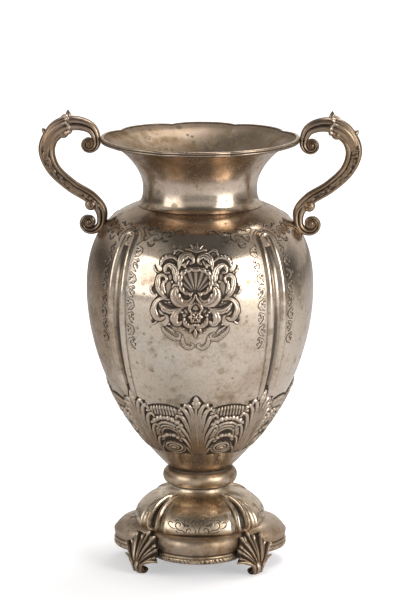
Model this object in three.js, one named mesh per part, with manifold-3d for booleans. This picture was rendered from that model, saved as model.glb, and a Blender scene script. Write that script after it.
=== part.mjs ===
import * as THREE from 'three';
import { mergeVertices } from 'three/addons/utils/BufferGeometryUtils.js';
import Module from 'manifold-3d';

const wasm = await Module();
wasm.setup();

// Sizes are in millimetres. +Z is up, -Y is the front, and the handles stand on the X axis.
const clearance = 0.3; // solder gap between pieces that seat on each other
const floorLevel = 0;

// Sheet thickness of each raised or spun piece.
const bowlWall = 1.5;
const neckWall = 1.5;
const knopWall = 1.5;
const domeWall = 1.5;
const borderWall = 1.5;

// Heights of the pieces that stack up from the floor.
const toeRise = 16.5;
const wireHeight = 7.8;
const borderHeight = 19.2;
const domeHeight = 34.3;
const knopHeight = 18.6;
const bowlHeight = 267.8;
const neckHeight = 64.6;
const spigotLength = 3; // short plug that centres a piece in the one below it
const neckSkirt = 4.5; // length of the neck's plug in the bowl's mouth

// Outline of the foot: four round lobes on the axes, with notches on the diagonals.
const baseRadius = 83.7;
const lobeCentre = 37;
const wireStandOff = 0.5;
const wireDepth = 2.5;
const borderRoll = 5; // how far the border's round edge comes down from its ledge
const ledgeRadius = baseRadius - 7.7;
const domeRadius = ledgeRadius - 8.6;
const ledgeInnerRadius = domeRadius - 15.4; // the ledge goes on under the dome
const stemRadius = 30;
const domeShoulder = 20; // width of the dome's upper roll outside the stem
const stemHeight = 13.2;

// Outline of the knop, the bowl and the neck.
const knopBulge = 8.6;
const knopCollar = 1.6;
const bowlFootRadius = 31;
const coneSlope = THREE.MathUtils.degToRad(43);
const coneReach = 51.3;
const bellyRadius = 113.4;
const bellyRise = 184.4;
const swellBelow = 79.1;
const swellAbove = 40.8;
const shoulderSlope = THREE.MathUtils.degToRad(16);
const shoulderReach = 40.7;
const mouthRadius = 61.8;
const waistRadius = 56.8;
const waistRise = 17.3;
const lipRadius = 96.5;
const lipSlope = THREE.MathUtils.degToRad(19);
const flareRise = 18.2;
const flareReach = 21;

// The rim is scalloped in brackets. Angles are counted from the front and from the back.
const notchAngles = [20, 60];
const notchDepth = 3.5;
const notchDrop = 1;
const rimHeight = 5;
const rimWidth = 2.1;
const rimReed = 0.6;

// Hairpin flutes on the bowl: two ribs that meet in a round top, with a groove between them.
const fluteTopAngle = 43;
const fluteFootAngle = 46;
const fluteHalfWidth = 12.5;
const fluteRib = 2.4;
const fluteGroove = 2.2;
const fluteTopDrop = 15.8; // how far the flutes' tops lie below the bowl's mouth
const fluteFootRise = 86;
const fluteTaper = 1.8;

// Leaf band round the foot of the bowl, and the cartouche on its front and back.
const leafCount = 8;
const leafReach = 111; // along the sheet, from the foot of the bowl to a leaf's tip
const shortLeafReach = 88; // for the leaves that stand under the flutes
const leafBandRelief = 0.6;
const leafHeight = 3.2;
const archHeight = 2.2;
const cartoucheLift = 3.4;
const shellRadius = 15;
const shellSpread = THREE.MathUtils.degToRad(250);
const shellRise = 25; // height of the shell's hinge above the belly, along the sheet
const flowerRadius = 7;

// Hairpins on the diagonals of the foot's dome.
const hairpinHalfWidth = 9;
const hairpinRib = 2.6;
const hairpinGroove = 2.6;
const hairpinEnd = 0.26; // share of the dome's height where the round end has its centre
const cornerValley = 5;
const cornerAngle = 45;

// Cast feet: a scroll that carries a fan leaf.
const footReach = 20; // how far the foot stands out from the notch that it sits in
const footScrollDepth = 4.6;
const footScrollWidth = 13;
const footLeafSpread = THREE.MathUtils.degToRad(86);
const footLeafRoot = 10; // height of the place that the leaf's fingers spread from
const footLeafThickness = 3.6;
const footLeafRib = 1.5;
const toeFlat = 0.9; // how far each toe is filed flat to stand level

// Cast handles: an S scroll from the rim to the shoulder.
const handleReach = 63;
const handleDepth = 16.6;
const handleWidth = 14;
const shoulderSeatDrop = 15.6; // how far the lower seat lies below the bowl's mouth
const voluteRadius = 8.7;
const voluteDepth = 7.4;
const lowVoluteRadius = 12.3;
const lowVoluteDepth = 9;
const voluteSweep = 325; // degrees that a volute winds through
const eyeRadius = 3.1;
const budLength = 7.4;
const budRadius = 3;
const beadRadius = 6;

// Facets: lines round the axis of each turned piece.
const footLineCount = 40;
const domeLineCount = 48;
const knopLineCount = 24;
const bowlLineCount = 64;
const neckLineCount = 48;
const bowlRows = 13;
const bowlInnerRows = 9;
const borderRows = 6;
const domeRows = 8;
const handleSteps = 22;
const footScrollSteps = 7;
const knopRows = 6;
const neckRows = 6;

// Levels worked out from the stack.
const wireBase = floorLevel + toeRise;
const borderBase = wireBase + wireHeight + clearance;
const domeBase = borderBase + borderHeight + clearance;
const knopBase = domeBase + domeHeight + clearance;
const bowlBase = knopBase + knopHeight + clearance;
const neckBase = bowlBase + bowlHeight + clearance;
const lipLevel = neckBase + neckHeight;

const silver = new THREE.Color(0xb9b2a6);
const darkSilver = new THREE.Color(0x8d8170);

function finish(color, roughness) {
  return new THREE.MeshStandardMaterial({ color, roughness, metalness: 1 });
}

function range(count) {
  return Array.from({ length: count }, (_, index) => index);
}

// Merges shared vertices and drops the flat triangles at a pole.
function weld(geometry) {
  geometry.deleteAttribute('normal');
  geometry.deleteAttribute('uv');
  const merged = mergeVertices(geometry, 1e-4);
  const source = merged.index.array;
  const kept = [];
  for (let i = 0; i < source.length; i += 3) {
    const [a, b, c] = [source[i], source[i + 1], source[i + 2]];
    if (a !== b && b !== c && c !== a) kept.push(a, b, c);
  }
  merged.setIndex(kept);
  return merged;
}

function solidOf(geometry) {
  const welded = weld(geometry);
  const mesh = new wasm.Mesh({
    numProp: 3,
    vertProperties: new Float32Array(welded.attributes.position.array),
    triVerts: new Uint32Array(welded.index.array),
  });
  return new wasm.Manifold(mesh);
}

function geometryOf(solid) {
  const mesh = solid.getMesh();
  const geometry = new THREE.BufferGeometry();
  geometry.setAttribute('position', new THREE.BufferAttribute(mesh.vertProperties, 3));
  geometry.setIndex(new THREE.BufferAttribute(mesh.triVerts, 1));
  geometry.computeVertexNormals();
  return geometry;
}

// A station is a point of a profile (radius, height) and the way that the sheet's face looks there.
function station(radius, height, face = new THREE.Vector2()) {
  return { point: new THREE.Vector2(radius, height), face };
}

// Stations along a climbing path, moved out along the face by an offset.
function stationsAlong(path, steps, offset = 0) {
  return range(steps + 1).map((index) => {
    const along = path.getTangentAt(index / steps);
    const face = new THREE.Vector2(along.y, -along.x);
    const point = path.getPointAt(index / steps).addScaledVector(face, offset);
    return { point, face };
  });
}

// The closed profile of a sheet: up its outside, then down its inside.
function sheet(path, wall, outerSteps, innerSteps) {
  return [...stationsAlong(path, outerSteps), ...stationsAlong(path, innerSteps, -wall).reverse()];
}

// Turns a profile round the axis. shape(azimuth, station) moves each point: it may change the
// azimuth, scale the radius, lift the point off the sheet or lower it. Azimuth 0 is the front.
function turned(stations, lines, shape = () => ({})) {
  const onAxis = stations[0].point.x === 0;
  const closed = onAxis ? stations : [...stations, stations[0]];
  const geometry = new THREE.LatheGeometry(closed.map(({ point }) => point), lines);
  const position = geometry.attributes.position;
  for (let i = 0; i < position.count; i += 1) {
    const { point, face } = closed[i % closed.length];
    const line = Math.floor(i / closed.length) % lines;
    const start = (line / lines) * 2 * Math.PI;
    const moved = shape(start, closed[i % closed.length]);
    const { azimuth = start, scale = 1, lift = 0, inward = 0, drop = 0 } = moved;
    const radius = (point.x + face.x * lift) * scale - inward;
    const height = point.y + face.y * lift - drop;
    position.setXYZ(i, radius * Math.sin(azimuth), -radius * Math.cos(azimuth), height);
  }
  return geometry;
}

// Spreads even lines over each quarter so that chosen lines fall on chosen angles.
function spread(azimuth, lineStops, angleStops) {
  const quarter = Math.floor(azimuth / (Math.PI / 2) + 1e-9);
  const within = azimuth / (Math.PI / 2) - quarter;
  const mirrored = quarter % 2 === 1;
  const fraction = (mirrored ? 1 - within : within) * lineStops.at(-1);
  const stop = Math.max(1, lineStops.findIndex((line) => line >= fraction - 1e-9));
  const share = (fraction - lineStops[stop - 1]) / (lineStops[stop] - lineStops[stop - 1]);
  const folded = THREE.MathUtils.lerp(angleStops[stop - 1], angleStops[stop], share);
  const angle = THREE.MathUtils.degToRad(mirrored ? 90 - folded : folded);
  return { azimuth: quarter * (Math.PI / 2) + angle, folded };
}

// Height of a hairpin: a round rib about a groove. across and past are distances from its line.
function hairpin(across, past, halfWidth, rib, groove) {
  const crest = 0.6;
  const distance = Math.hypot(across, Math.max(past, 0)) / halfWidth;
  if (distance >= 1) return 0;
  if (distance > crest) return rib * (0.5 + 0.5 * Math.cos((Math.PI * (distance - crest)) / (1 - crest)));
  return THREE.MathUtils.lerp(-groove, rib, 0.5 - 0.5 * Math.cos((Math.PI * distance) / crest));
}

// Foot: plan of the lobed base, as a share of its greatest radius.
const lobeRadius = baseRadius - lobeCentre;
const footLines = [0, footLineCount / 8, footLineCount / 4];

function lobeShare(folded) {
  const angle = THREE.MathUtils.degToRad(Math.min(folded, 90 - folded));
  const half = lobeCentre * Math.sin(angle);
  return (lobeCentre * Math.cos(angle) + Math.sqrt(lobeRadius ** 2 - half ** 2)) / baseRadius;
}

function lobed(start, { point }) {
  const { azimuth, folded } = spread(start, footLines, [0, 45, 90]);
  const share = THREE.MathUtils.smoothstep(point.x, ledgeInnerRadius, ledgeRadius);
  return { azimuth, scale: THREE.MathUtils.lerp(1, lobeShare(folded), share) };
}

// Applied wire round the bottom edge of the base.
function baseWireStations(grow) {
  const outer = baseRadius + wireStandOff + grow;
  const top = wireBase + wireHeight + grow;
  return [
    station(outer - wireDepth, wireBase - grow),
    station(outer - 0.7, wireBase - grow),
    station(outer, wireBase + wireHeight * 0.45),
    station(outer - 0.2, top - 0.8),
    station(outer - 0.9, top),
    station(outer - wireDepth, top),
  ];
}

// Cushion border: a level ledge that rolls over into a round wall.
function borderPath() {
  const top = borderBase + borderHeight;
  const path = new THREE.Path();
  path.moveTo(baseRadius - 1.1, borderBase);
  const upright = borderBase + borderHeight * 0.4;
  path.quadraticCurveTo(baseRadius, borderBase + borderHeight * 0.2, baseRadius, upright);
  path.bezierCurveTo(baseRadius, top - borderRoll, ledgeRadius + 5, top - 0.4, ledgeRadius, top - 0.4);
  path.lineTo(ledgeInnerRadius, top);
  return path;
}

function makeBorder() {
  return turned(sheet(borderPath(), borderWall, borderRows, 2), footLineCount, lobed);
}

// Dome of the foot: the stem flows out over a round shoulder down to the ledge.
function domePath() {
  const stemTop = domeBase + domeHeight;
  const rollRadius = stemRadius + domeShoulder;
  const rollLevel = stemTop - stemHeight;
  const path = new THREE.Path();
  path.moveTo(domeRadius, domeBase);
  path.bezierCurveTo(domeRadius, domeBase + 9, rollRadius + 11, rollLevel - 5.2, rollRadius, rollLevel);
  path.bezierCurveTo(rollRadius - 8, rollLevel + 3.6, stemRadius, rollLevel + 4.3, stemRadius, stemTop);
  return path;
}

function domeShape(start, { point }) {
  const out = THREE.MathUtils.clamp((point.x - stemRadius) / (domeRadius - stemRadius), 0, 1);
  const halfWidth = hairpinHalfWidth * THREE.MathUtils.lerp(0.45, 1, out);
  const reach = Math.min(30, THREE.MathUtils.radToDeg((1.7 * halfWidth) / Math.max(point.x, 1)));
  const stops = [0, cornerAngle - reach, cornerAngle + reach, 90];
  const { azimuth, folded } = spread(start, [0, 2, 10, 12], stops);
  const across = THREE.MathUtils.degToRad(folded - cornerAngle) * point.x;
  const past = domeBase + domeHeight * hairpinEnd - point.y;
  const valley = cornerValley * out ** 1.5 * Math.exp(-((across / (1.5 * halfWidth)) ** 4));
  const fade = THREE.MathUtils.smoothstep(out, 0.02, 0.3);
  const relief = hairpin(across, past, halfWidth, hairpinRib, hairpinGroove * Math.min(1, 2 * out)) * fade;
  return { azimuth, lift: relief, inward: valley };
}

function makeDome() {
  const seat = domeBase + domeHeight;
  const spigotRadius = stemRadius - knopWall - clearance;
  const outer = stationsAlong(domePath(), domeRows);
  const inner = stationsAlong(domePath(), 4, -domeWall).reverse();
  const spigot = [
    station(spigotRadius, seat),
    station(spigotRadius, seat + clearance + spigotLength),
    station(spigotRadius - domeWall, seat + clearance + spigotLength),
    station(spigotRadius - domeWall, seat - 2 * domeWall),
  ];
  return turned([...outer, ...spigot, ...inner.slice(1)], domeLineCount, domeShape);
}

// Knop: a hollow ring with a short collar above and below its bulge.
function knopPath() {
  const top = knopBase + knopHeight;
  const bulge = Math.max(stemRadius, bowlFootRadius) + knopBulge;
  const path = new THREE.Path();
  path.moveTo(stemRadius, knopBase);
  path.lineTo(stemRadius, knopBase + knopCollar);
  const underCollar = top - knopCollar;
  path.bezierCurveTo(bulge, knopBase + knopCollar, bulge, underCollar, bowlFootRadius, underCollar);
  path.lineTo(bowlFootRadius, top);
  return path;
}

function makeKnop() {
  return turned(sheet(knopPath(), knopWall, knopRows, 4), knopLineCount);
}

// Bowl: a cone that swells to the belly and turns in over the shoulder.
function bowlPath() {
  const belly = bowlBase + bellyRise;
  const mouth = bowlBase + bowlHeight;
  const path = new THREE.Path();
  path.moveTo(bowlFootRadius, bowlBase);
  path.bezierCurveTo(
    bowlFootRadius + coneReach * Math.cos(coneSlope), bowlBase + coneReach * Math.sin(coneSlope),
    bellyRadius, belly - swellBelow, bellyRadius, belly,
  );
  path.bezierCurveTo(
    bellyRadius, belly + swellAbove,
    mouthRadius + shoulderReach * Math.cos(shoulderSlope), mouth - shoulderReach * Math.sin(shoulderSlope),
    mouthRadius, mouth,
  );
  return path;
}

// The sheet stands out a little under the leaf band.
function leafBand(rise) {
  const climb = THREE.MathUtils.clamp(rise / fluteFootRise, 0, 1);
  return leafBandRelief * Math.sin(Math.PI * climb);
}

function bowlShape(start, { point }) {
  const rise = point.y - bowlBase;
  const fluteTopRise = bowlHeight - fluteTopDrop;
  const climb = THREE.MathUtils.clamp((rise - fluteFootRise) / (fluteTopRise - fluteFootRise), 0, 1);
  const centre = THREE.MathUtils.lerp(fluteFootAngle, fluteTopAngle, climb);
  const halfWidth = Math.max(1, fluteHalfWidth * Math.min(1, point.x / bellyRadius) ** fluteTaper);
  const reach = THREE.MathUtils.radToDeg(Math.min(0.35, (1.08 * halfWidth) / Math.max(point.x, 1)));
  const { azimuth, folded } = spread(start, [0, 4, 12, 16], [0, centre - reach, centre + reach, 90]);
  const across = THREE.MathUtils.degToRad(folded - centre) * point.x;
  const past = Math.max(rise - (fluteTopRise - halfWidth), fluteFootRise - rise);
  return { azimuth, lift: hairpin(across, past, halfWidth, fluteRib, fluteGroove) + leafBand(rise) };
}

function makeBowl() {
  const plugRadius = bowlFootRadius - knopWall - clearance;
  const plugBase = bowlBase - clearance - spigotLength;
  const inner = stationsAlong(bowlPath(), bowlInnerRows, -bowlWall).reverse();
  const outside = [station(0, plugBase), station(plugRadius, plugBase), station(plugRadius, bowlBase)];
  const floor = [
    station(plugRadius - bowlWall, bowlBase + bowlWall),
    station(plugRadius - bowlWall, plugBase + bowlWall),
    station(0, plugBase + bowlWall),
  ];
  const sides = [...stationsAlong(bowlPath(), bowlRows), ...inner.slice(0, -1)];
  return turned([...outside, ...sides, ...floor], bowlLineCount, bowlShape);
}

// Lays a form on the bowl. It is modelled flat: X is its height off the sheet, Y runs round the bowl
// and Z climbs along the sheet, from the foot of the bowl or from its belly.
function laidOnBowl(geometry, azimuth, fromBelly) {
  const path = bowlPath();
  const total = path.getLength();
  const start = fromBelly ? path.curves[0].getLength() : 0;
  const laid = geometry.clone();
  const position = laid.attributes.position;
  for (let i = 0; i < position.count; i += 1) {
    const share = THREE.MathUtils.clamp((start + position.getZ(i)) / total, 0, 1);
    const point = path.getPointAt(share);
    const along = path.getTangentAt(share);
    const angle = azimuth + position.getY(i) / point.x;
    const radius = point.x + along.y * position.getX(i);
    const height = point.y - along.x * position.getX(i);
    position.setXYZ(i, radius * Math.sin(angle), -radius * Math.cos(angle), height);
  }
  return laid;
}

// Neck: a flared tube with its plug in the bowl's mouth and a scalloped lip.
function neckPath() {
  const waist = neckBase + waistRise;
  const path = new THREE.Path();
  path.moveTo(mouthRadius + 0.6, neckBase);
  path.bezierCurveTo(mouthRadius - 3.8, neckBase + 3.9, waistRadius, waist - 10.3, waistRadius, waist);
  path.bezierCurveTo(
    waistRadius, waist + flareRise,
    lipRadius - flareReach * Math.cos(lipSlope), lipLevel - flareReach * Math.sin(lipSlope),
    lipRadius, lipLevel,
  );
  return path;
}

const scallopLines = [0, 3, 8, 12];

// How far a point of the rim lies towards a notch: 0 in the middle of a lobe, 1 in the notch.
function bracket(folded) {
  const [first, second] = notchAngles;
  if (folded <= first) return folded / first;
  if (folded <= second) return Math.abs(folded - (first + second) / 2) / ((second - first) / 2);
  return (90 - folded) / (90 - second);
}

function scalloped(start, { point }) {
  const { azimuth, folded } = spread(start, scallopLines, [0, ...notchAngles, 90]);
  const out = THREE.MathUtils.clamp((point.x - waistRadius) / (lipRadius - waistRadius), 0, 1);
  const cut = bracket(folded) ** 3 * out ** 2;
  return { azimuth, inward: notchDepth * cut, drop: notchDrop * cut };
}

function makeNeck() {
  const skirtRadius = mouthRadius - clearance - 0.6;
  const path = neckPath();
  const inner = stationsAlong(path, neckRows, -neckWall).reverse();
  const skirt = [
    station(skirtRadius - neckWall, neckBase + neckWall),
    station(skirtRadius - neckWall, neckBase - neckSkirt),
    station(skirtRadius, neckBase - neckSkirt),
    station(skirtRadius, neckBase),
  ];
  const profile = [...skirt, ...stationsAlong(path, neckRows), ...inner.slice(0, -1)];
  return turned(profile, neckLineCount, scalloped);
}

// Rim: a reeded wire that hugs the lip from outside and laps over its edge.
function rimStations(grow) {
  const inside = lipRadius + clearance + 0.1 - grow;
  const outside = inside + rimWidth + 2 * grow;
  const top = lipLevel + rimHeight / 2 + grow;
  const bottom = top - rimHeight - 2 * grow;
  const lap = lipLevel + neckWall + clearance - grow;
  return [
    station(inside, bottom + 0.2),
    station(outside - 0.6, bottom),
    station(outside, bottom + rimHeight * 0.27),
    station(outside - rimReed, bottom + rimHeight * 0.5),
    station(outside, bottom + rimHeight * 0.75),
    station(outside - 0.7, top),
    station(inside - 1.4, top),
    station(inside - 1.4, lap),
    station(inside, lap),
  ];
}

// Half of a moulded section: places across the bar and to its side, as shares of half its size.
const mouldedHalf = [[1, 0.3], [0.62, 0.95], [0, 0.84], [-0.62, 0.95], [-1, 0.3]];
const mouldedSection = [...mouldedHalf, ...mouldedHalf.map(([n, y]) => [n, -y]).reverse()];

// Section of a scroll that is raised from a sheet: a ridge, with its back inside the sheet.
const raisedSection = [[1, -0.45], [0, 1], [-1, -0.45]];

// A bar with caps that follows stations in the XZ plane: each has its point, normal, depth and width.
function bar(stations, ring = mouldedSection) {
  const positions = [];
  stations.forEach(({ point, normal, depth, width }) => {
    ring.forEach(([n, y]) => {
      const away = (n * depth) / 2;
      positions.push(point.x + normal.x * away, (y * width) / 2, point.y + normal.y * away);
    });
  });
  const last = stations.length - 1;
  [stations[0], stations[last]].forEach(({ point }) => positions.push(point.x, 0, point.y));
  const indices = [];
  const size = ring.length;
  for (let i = 0; i < last; i += 1) {
    for (let j = 0; j < size; j += 1) {
      const next = (j + 1) % size;
      const [a, b, c, d] = [i * size + j, i * size + next, (i + 1) * size + next, (i + 1) * size + j];
      indices.push(a, c, b, a, d, c);
    }
  }
  const startCap = stations.length * size;
  for (let j = 0; j < size; j += 1) {
    const next = (j + 1) % size;
    indices.push(startCap, j, next, startCap + 1, last * size + next, last * size + j);
  }
  const geometry = new THREE.BufferGeometry();
  geometry.setAttribute('position', new THREE.Float32BufferAttribute(positions, 3));
  geometry.setIndex(indices);
  return geometry;
}

// Stations of a bar along a smooth course of control points: each is [x, z, depth, width].
function course(controls, steps) {
  const places = controls.map(([x, z]) => new THREE.Vector3(x, 0, z));
  const line = new THREE.CatmullRomCurve3(places, false, 'centripetal');
  const sections = controls.map(([, , depth, width]) => new THREE.Vector3(depth, width, 0));
  const sizes = new THREE.CatmullRomCurve3(sections);
  return range(steps + 1).map((index) => {
    const share = index / steps;
    const point = line.getPoint(share);
    const along = line.getTangent(share);
    const size = sizes.getPoint(share);
    return {
      point: new THREE.Vector2(point.x, point.z),
      normal: new THREE.Vector2(-along.z, along.x),
      depth: size.x,
      width: size.y,
    };
  });
}

// Control points of a volute that winds in from startAngle. Its line and its depth shrink together.
function volute(centre, startAngle, startRadius, startDepth, width) {
  const steps = 7;
  return range(steps + 1).map((index) => {
    const share = index / steps;
    const angle = THREE.MathUtils.degToRad(startAngle + voluteSweep * share);
    const radius = THREE.MathUtils.lerp(startRadius, eyeRadius, share ** 0.75);
    const depth = THREE.MathUtils.lerp(startDepth, eyeRadius, share ** 0.7);
    return [centre.x + radius * Math.cos(angle), centre.y + radius * Math.sin(angle), depth, width];
  });
}

// A round button with its axis along Y.
function button(x, z, radius, width, segments = 8) {
  const half = width / 2;
  const crown = radius * 0.35;
  const profile = [[0, -half], [radius, -half + crown], [radius, half - crown], [0, half]]
    .map(([r, y]) => new THREE.Vector2(r, y));
  const geometry = new THREE.LatheGeometry(profile, segments);
  geometry.translate(x, 0, z);
  return geometry;
}

// A pointed bud that grows from a point in the XZ plane.
function bud(x, z, lean, radius, length) {
  const profile = [
    [0, -radius], [radius * 0.8, -radius * 0.6], [radius, 0], [radius * 0.8, length * 0.45], [0, length],
  ]
    .map(([r, y]) => new THREE.Vector2(r, y));
  const geometry = new THREE.LatheGeometry(profile, 6);
  geometry.rotateX(Math.PI / 2);
  geometry.rotateY(lean);
  geometry.translate(x, 0, z);
  return geometry;
}

function union(geometries) {
  return geometries.map(solidOf).reduce((whole, piece) => whole.add(piece));
}

// Handle: one casting. Its course is given in shares of its reach and of the height between its seats.
const armCourse = [
  [0.116, 1.115, 0.66], [0.289, 1.182, 0.82], [0.503, 1.176, 0.92], [0.739, 1.06, 1], [0.869, 0.862, 1],
  [0.808, 0.633, 0.84], [0.548, 0.413, 0.78], [0.248, 0.253, 0.78], [0.113, 0.101, 0.72],
];

function outlineRadiusAt(path, height) {
  const samples = range(400).map((index) => path.getPoint(index / 399));
  return samples.find(({ y }) => y >= height).x;
}

// Centres of the volutes, from the seats that they grow from.
const highVoluteOffset = new THREE.Vector2(12, -5.2);
const lowVoluteOffset = new THREE.Vector2(20.3, -3.2);
const highVoluteStart = 172;
const lowVoluteStart = 190;

function makeHandle(neighbours) {
  const seatLevel = bowlBase + bowlHeight - shoulderSeatDrop;
  const lowSeat = new THREE.Vector2(outlineRadiusAt(bowlPath(), seatLevel), seatLevel);
  const highSeat = new THREE.Vector2(lipRadius + clearance + rimWidth, lipLevel);
  const place = (reach, share) => {
    const seat = new THREE.Vector2().lerpVectors(lowSeat, highSeat, share);
    return new THREE.Vector2(seat.x + handleReach * reach, seat.y);
  };
  const highCentre = highSeat.clone().add(highVoluteOffset);
  const lowCentre = lowSeat.clone().add(lowVoluteOffset);
  const voluteWidth = handleWidth * 0.85;
  const high = volute(highCentre, highVoluteStart, voluteRadius, voluteDepth, voluteWidth).reverse();
  const arm = armCourse.map(([reach, share, depth]) => {
    const { x, y } = place(reach, share);
    return [x, y, handleDepth * depth, handleWidth * (0.6 + 0.4 * depth)];
  });
  const low = volute(lowCentre, lowVoluteStart, lowVoluteRadius, lowVoluteDepth, voluteWidth);
  const sideVolute = place(0.565, 1.1);
  const topBud = place(0.465, 1.27);
  const outerBud = place(0.86, 1.08);
  const lowBead = place(0.265, 0.178);
  const casting = union([
    bar(course([...high, ...arm, ...low], handleSteps)),
    button(highCentre.x, highCentre.y, voluteRadius * 0.8, handleWidth * 0.5),
    button(highCentre.x, highCentre.y, eyeRadius, handleWidth * 0.95),
    button(lowCentre.x, lowCentre.y, voluteRadius * 0.8, handleWidth * 0.5),
    button(lowCentre.x, lowCentre.y, eyeRadius, handleWidth * 0.95),
    button(sideVolute.x, sideVolute.y, beadRadius * 0.85, handleWidth * 1.12),
    button(lowBead.x, lowBead.y, beadRadius, handleWidth),
    bud(topBud.x, topBud.y, 0.1, budRadius, budLength),
    bud(outerBud.x, outerBud.y, 0.8, budRadius, budLength),
  ]);
  return geometryOf(neighbours.reduce((left, neighbour) => left.subtract(neighbour), casting));
}

// A raised scroll, modelled flat for laidOnBowl. Each control is [across, along, width, height].
function raisedScroll(controls, steps) {
  const flat = controls.map(([across, along, width, height]) => [across, along, width, 2 * height]);
  return bar(course(flat, steps), raisedSection).rotateZ(-Math.PI / 2);
}

function mirroredPair(controls, steps) {
  const other = controls.map(([across, ...rest]) => [-across, ...rest]);
  return [raisedScroll(controls, steps), raisedScroll(other, steps)];
}

// A round boss that stands off the sheet.
const bossDepth = 1.1;

function raisedBoss(across, along, radius, height, segments) {
  const profile = [[0, -bossDepth], [radius, -bossDepth], [radius * 0.8, height * 0.7], [0, height]]
    .map(([r, y]) => new THREE.Vector2(r, y));
  return new THREE.LatheGeometry(profile, segments).rotateZ(-Math.PI / 2).translate(0, across, along);
}

// Main scrolls on the right half of the cartouche, measured from its axis and from the belly of the bowl.
const cartoucheScrolls = [
  [[2, 12, 4, 2.4], [12, 3, 7, 3], [21.4, 9, 10, 3.4], [20, 20, 6, 2.6]],
  [[16, 34, 4, 2], [14.6, 47, 7, 3], [7.6, 53.6, 6, 2.8], [2, 47, 4, 2.2]],
  [[18, 26, 4, 2], [19.6, 39, 7, 3], [30, 42, 5, 2.2]],
  [[27, 12, 4, 2], [36.6, 23, 7, 2.8], [29, 33, 4, 2.2]],
  [[20, 1, 4, 2], [37, 4, 7, 3], [40, -8, 6, 2.8], [30, -10.8, 4, 2]],
  [[12, -1, 4, 2], [22, -9, 8, 3], [13.8, -14, 4, 2]],
];

// Shell of the cartouche: a fan about its hinge that is low in the middle and high at its lobed edge.
function shellFace(u, v) {
  const angle = (u - 0.5) * shellSpread;
  const radius = shellRadius * (0.15 + 0.85 * v);
  const height = cartoucheLift * (0.62 + 0.26 * v ** 2);
  return new THREE.Vector3(height, radius * Math.sin(angle), shellRise + radius * Math.cos(angle));
}

function cartoucheForms() {
  const scrolls = cartoucheScrolls.flatMap((controls) => mirroredPair(controls, 3));
  const shell = leafSlab(shellFace, cartoucheLift + 0.2, 8, 1);
  return [...scrolls, shell, raisedBoss(0, -8, flowerRadius, cartoucheLift * 0.8, 6)];
}

// One leaf of the band with its two fronds, each up to a share of the leaf's reach.
function leafForms(reach) {
  const leaf = raisedScroll([
    [0, 0.32 * reach, 5, leafHeight * 0.6], [0, 0.67 * reach, 10, leafHeight],
    [0, 0.88 * reach, 9, leafHeight], [0, reach, 4, leafHeight * 0.5],
  ], 3);
  const fronds = mirroredPair([
    [1.6, 0.41 * reach, 4, leafHeight * 0.6], [5.4, 0.74 * reach, 7, leafHeight * 0.9],
    [13.6, 0.88 * reach, 4, leafHeight * 0.6],
  ], 3);
  return [leaf, ...fronds];
}

// The arch between two leaves.
function archForms() {
  const top = leafReach * 0.66;
  const foot = leafReach * 0.5;
  const low = archHeight * 0.6;
  return [raisedScroll([
    [-13, foot, 4, low], [-8, top, 6, archHeight], [8, top, 6, archHeight], [13, foot, 4, low],
  ], 4)];
}

function bowlOrnament() {
  const front = cartoucheForms();
  const cartouches = [0, Math.PI].flatMap((azimuth) => front.map((form) => laidOnBowl(form, azimuth, true)));
  const step = (2 * Math.PI) / leafCount;
  const arches = archForms();
  const band = range(leafCount).flatMap((index) => [
    ...leafForms(index % 2 ? shortLeafReach : leafReach).map((form) => laidOnBowl(form, index * step, false)),
    ...arches.map((form) => laidOnBowl(form, (index + 0.5) * step, false)),
  ]);
  return [...cartouches, ...band];
}

// A leaf as a closed slab: front(u, v) is its face, and its back lies deeper along -X.
function leafSlab(front, thickness, across, along) {
  const positions = [];
  [0, thickness].forEach((depth) => {
    for (let j = 0; j <= along; j += 1) {
      for (let i = 0; i <= across; i += 1) {
        const point = front(i / across, j / along);
        positions.push(point.x - depth, point.y, point.z);
      }
    }
  });
  const row = across + 1;
  const layer = row * (along + 1);
  const indices = [];
  const quad = (a, b, c, d) => indices.push(a, c, b, a, d, c);
  for (let j = 0; j < along; j += 1) {
    for (let i = 0; i < across; i += 1) {
      const a = j * row + i;
      quad(a, a + row, a + row + 1, a + 1);
      quad(layer + a, layer + a + 1, layer + a + row + 1, layer + a + row);
    }
    const left = j * row;
    const right = left + across;
    quad(left, layer + left, layer + left + row, left + row);
    quad(right, right + row, layer + right + row, layer + right);
  }
  for (let i = 0; i < across; i += 1) {
    const top = along * row + i;
    quad(i, i + 1, layer + i + 1, layer + i);
    quad(top, layer + top, layer + top + 1, top + 1);
  }
  const geometry = new THREE.BufferGeometry();
  geometry.setAttribute('position', new THREE.Float32BufferAttribute(positions, 3));
  geometry.setIndex(indices);
  return geometry;
}

// Fingers of the foot's leaf, from its middle to its side: length and how far its tip stands out.
const leafFingers = [[31, 3], [31, 11], [26, 16], [21, 18]];

function footLeafFace(notchRadius) {
  const root = new THREE.Vector3(notchRadius + footReach + 1.5, 0, footLeafRoot);
  const fingerCount = leafFingers.length - 1;
  return (u, v) => {
    const side = (u - 0.5) * 2 * fingerCount;
    const finger = Math.abs(side);
    const inner = Math.min(Math.floor(finger), fingerCount - 1);
    const share = finger - inner;
    const [near, far] = [leafFingers[inner], leafFingers[inner + 1]];
    const between = (column) => THREE.MathUtils.lerp(near[column], far[column], share);
    const valley = 1 - Math.abs(Math.cos(Math.PI * finger));
    const length = between(0) * (1 - 0.2 * valley) * THREE.MathUtils.lerp(0.12, 1, v);
    const angle = (side / fingerCount) * footLeafSpread;
    const tip = notchRadius + between(1) - 0.3;
    const bulge = 2.5 * Math.sin(Math.PI * v) - footLeafRib * valley * Math.sqrt(v);
    const x = THREE.MathUtils.lerp(root.x, tip, v ** 1.3) + bulge;
    return new THREE.Vector3(x, length * Math.sin(angle), root.z + length * Math.cos(angle));
  };
}

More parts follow.
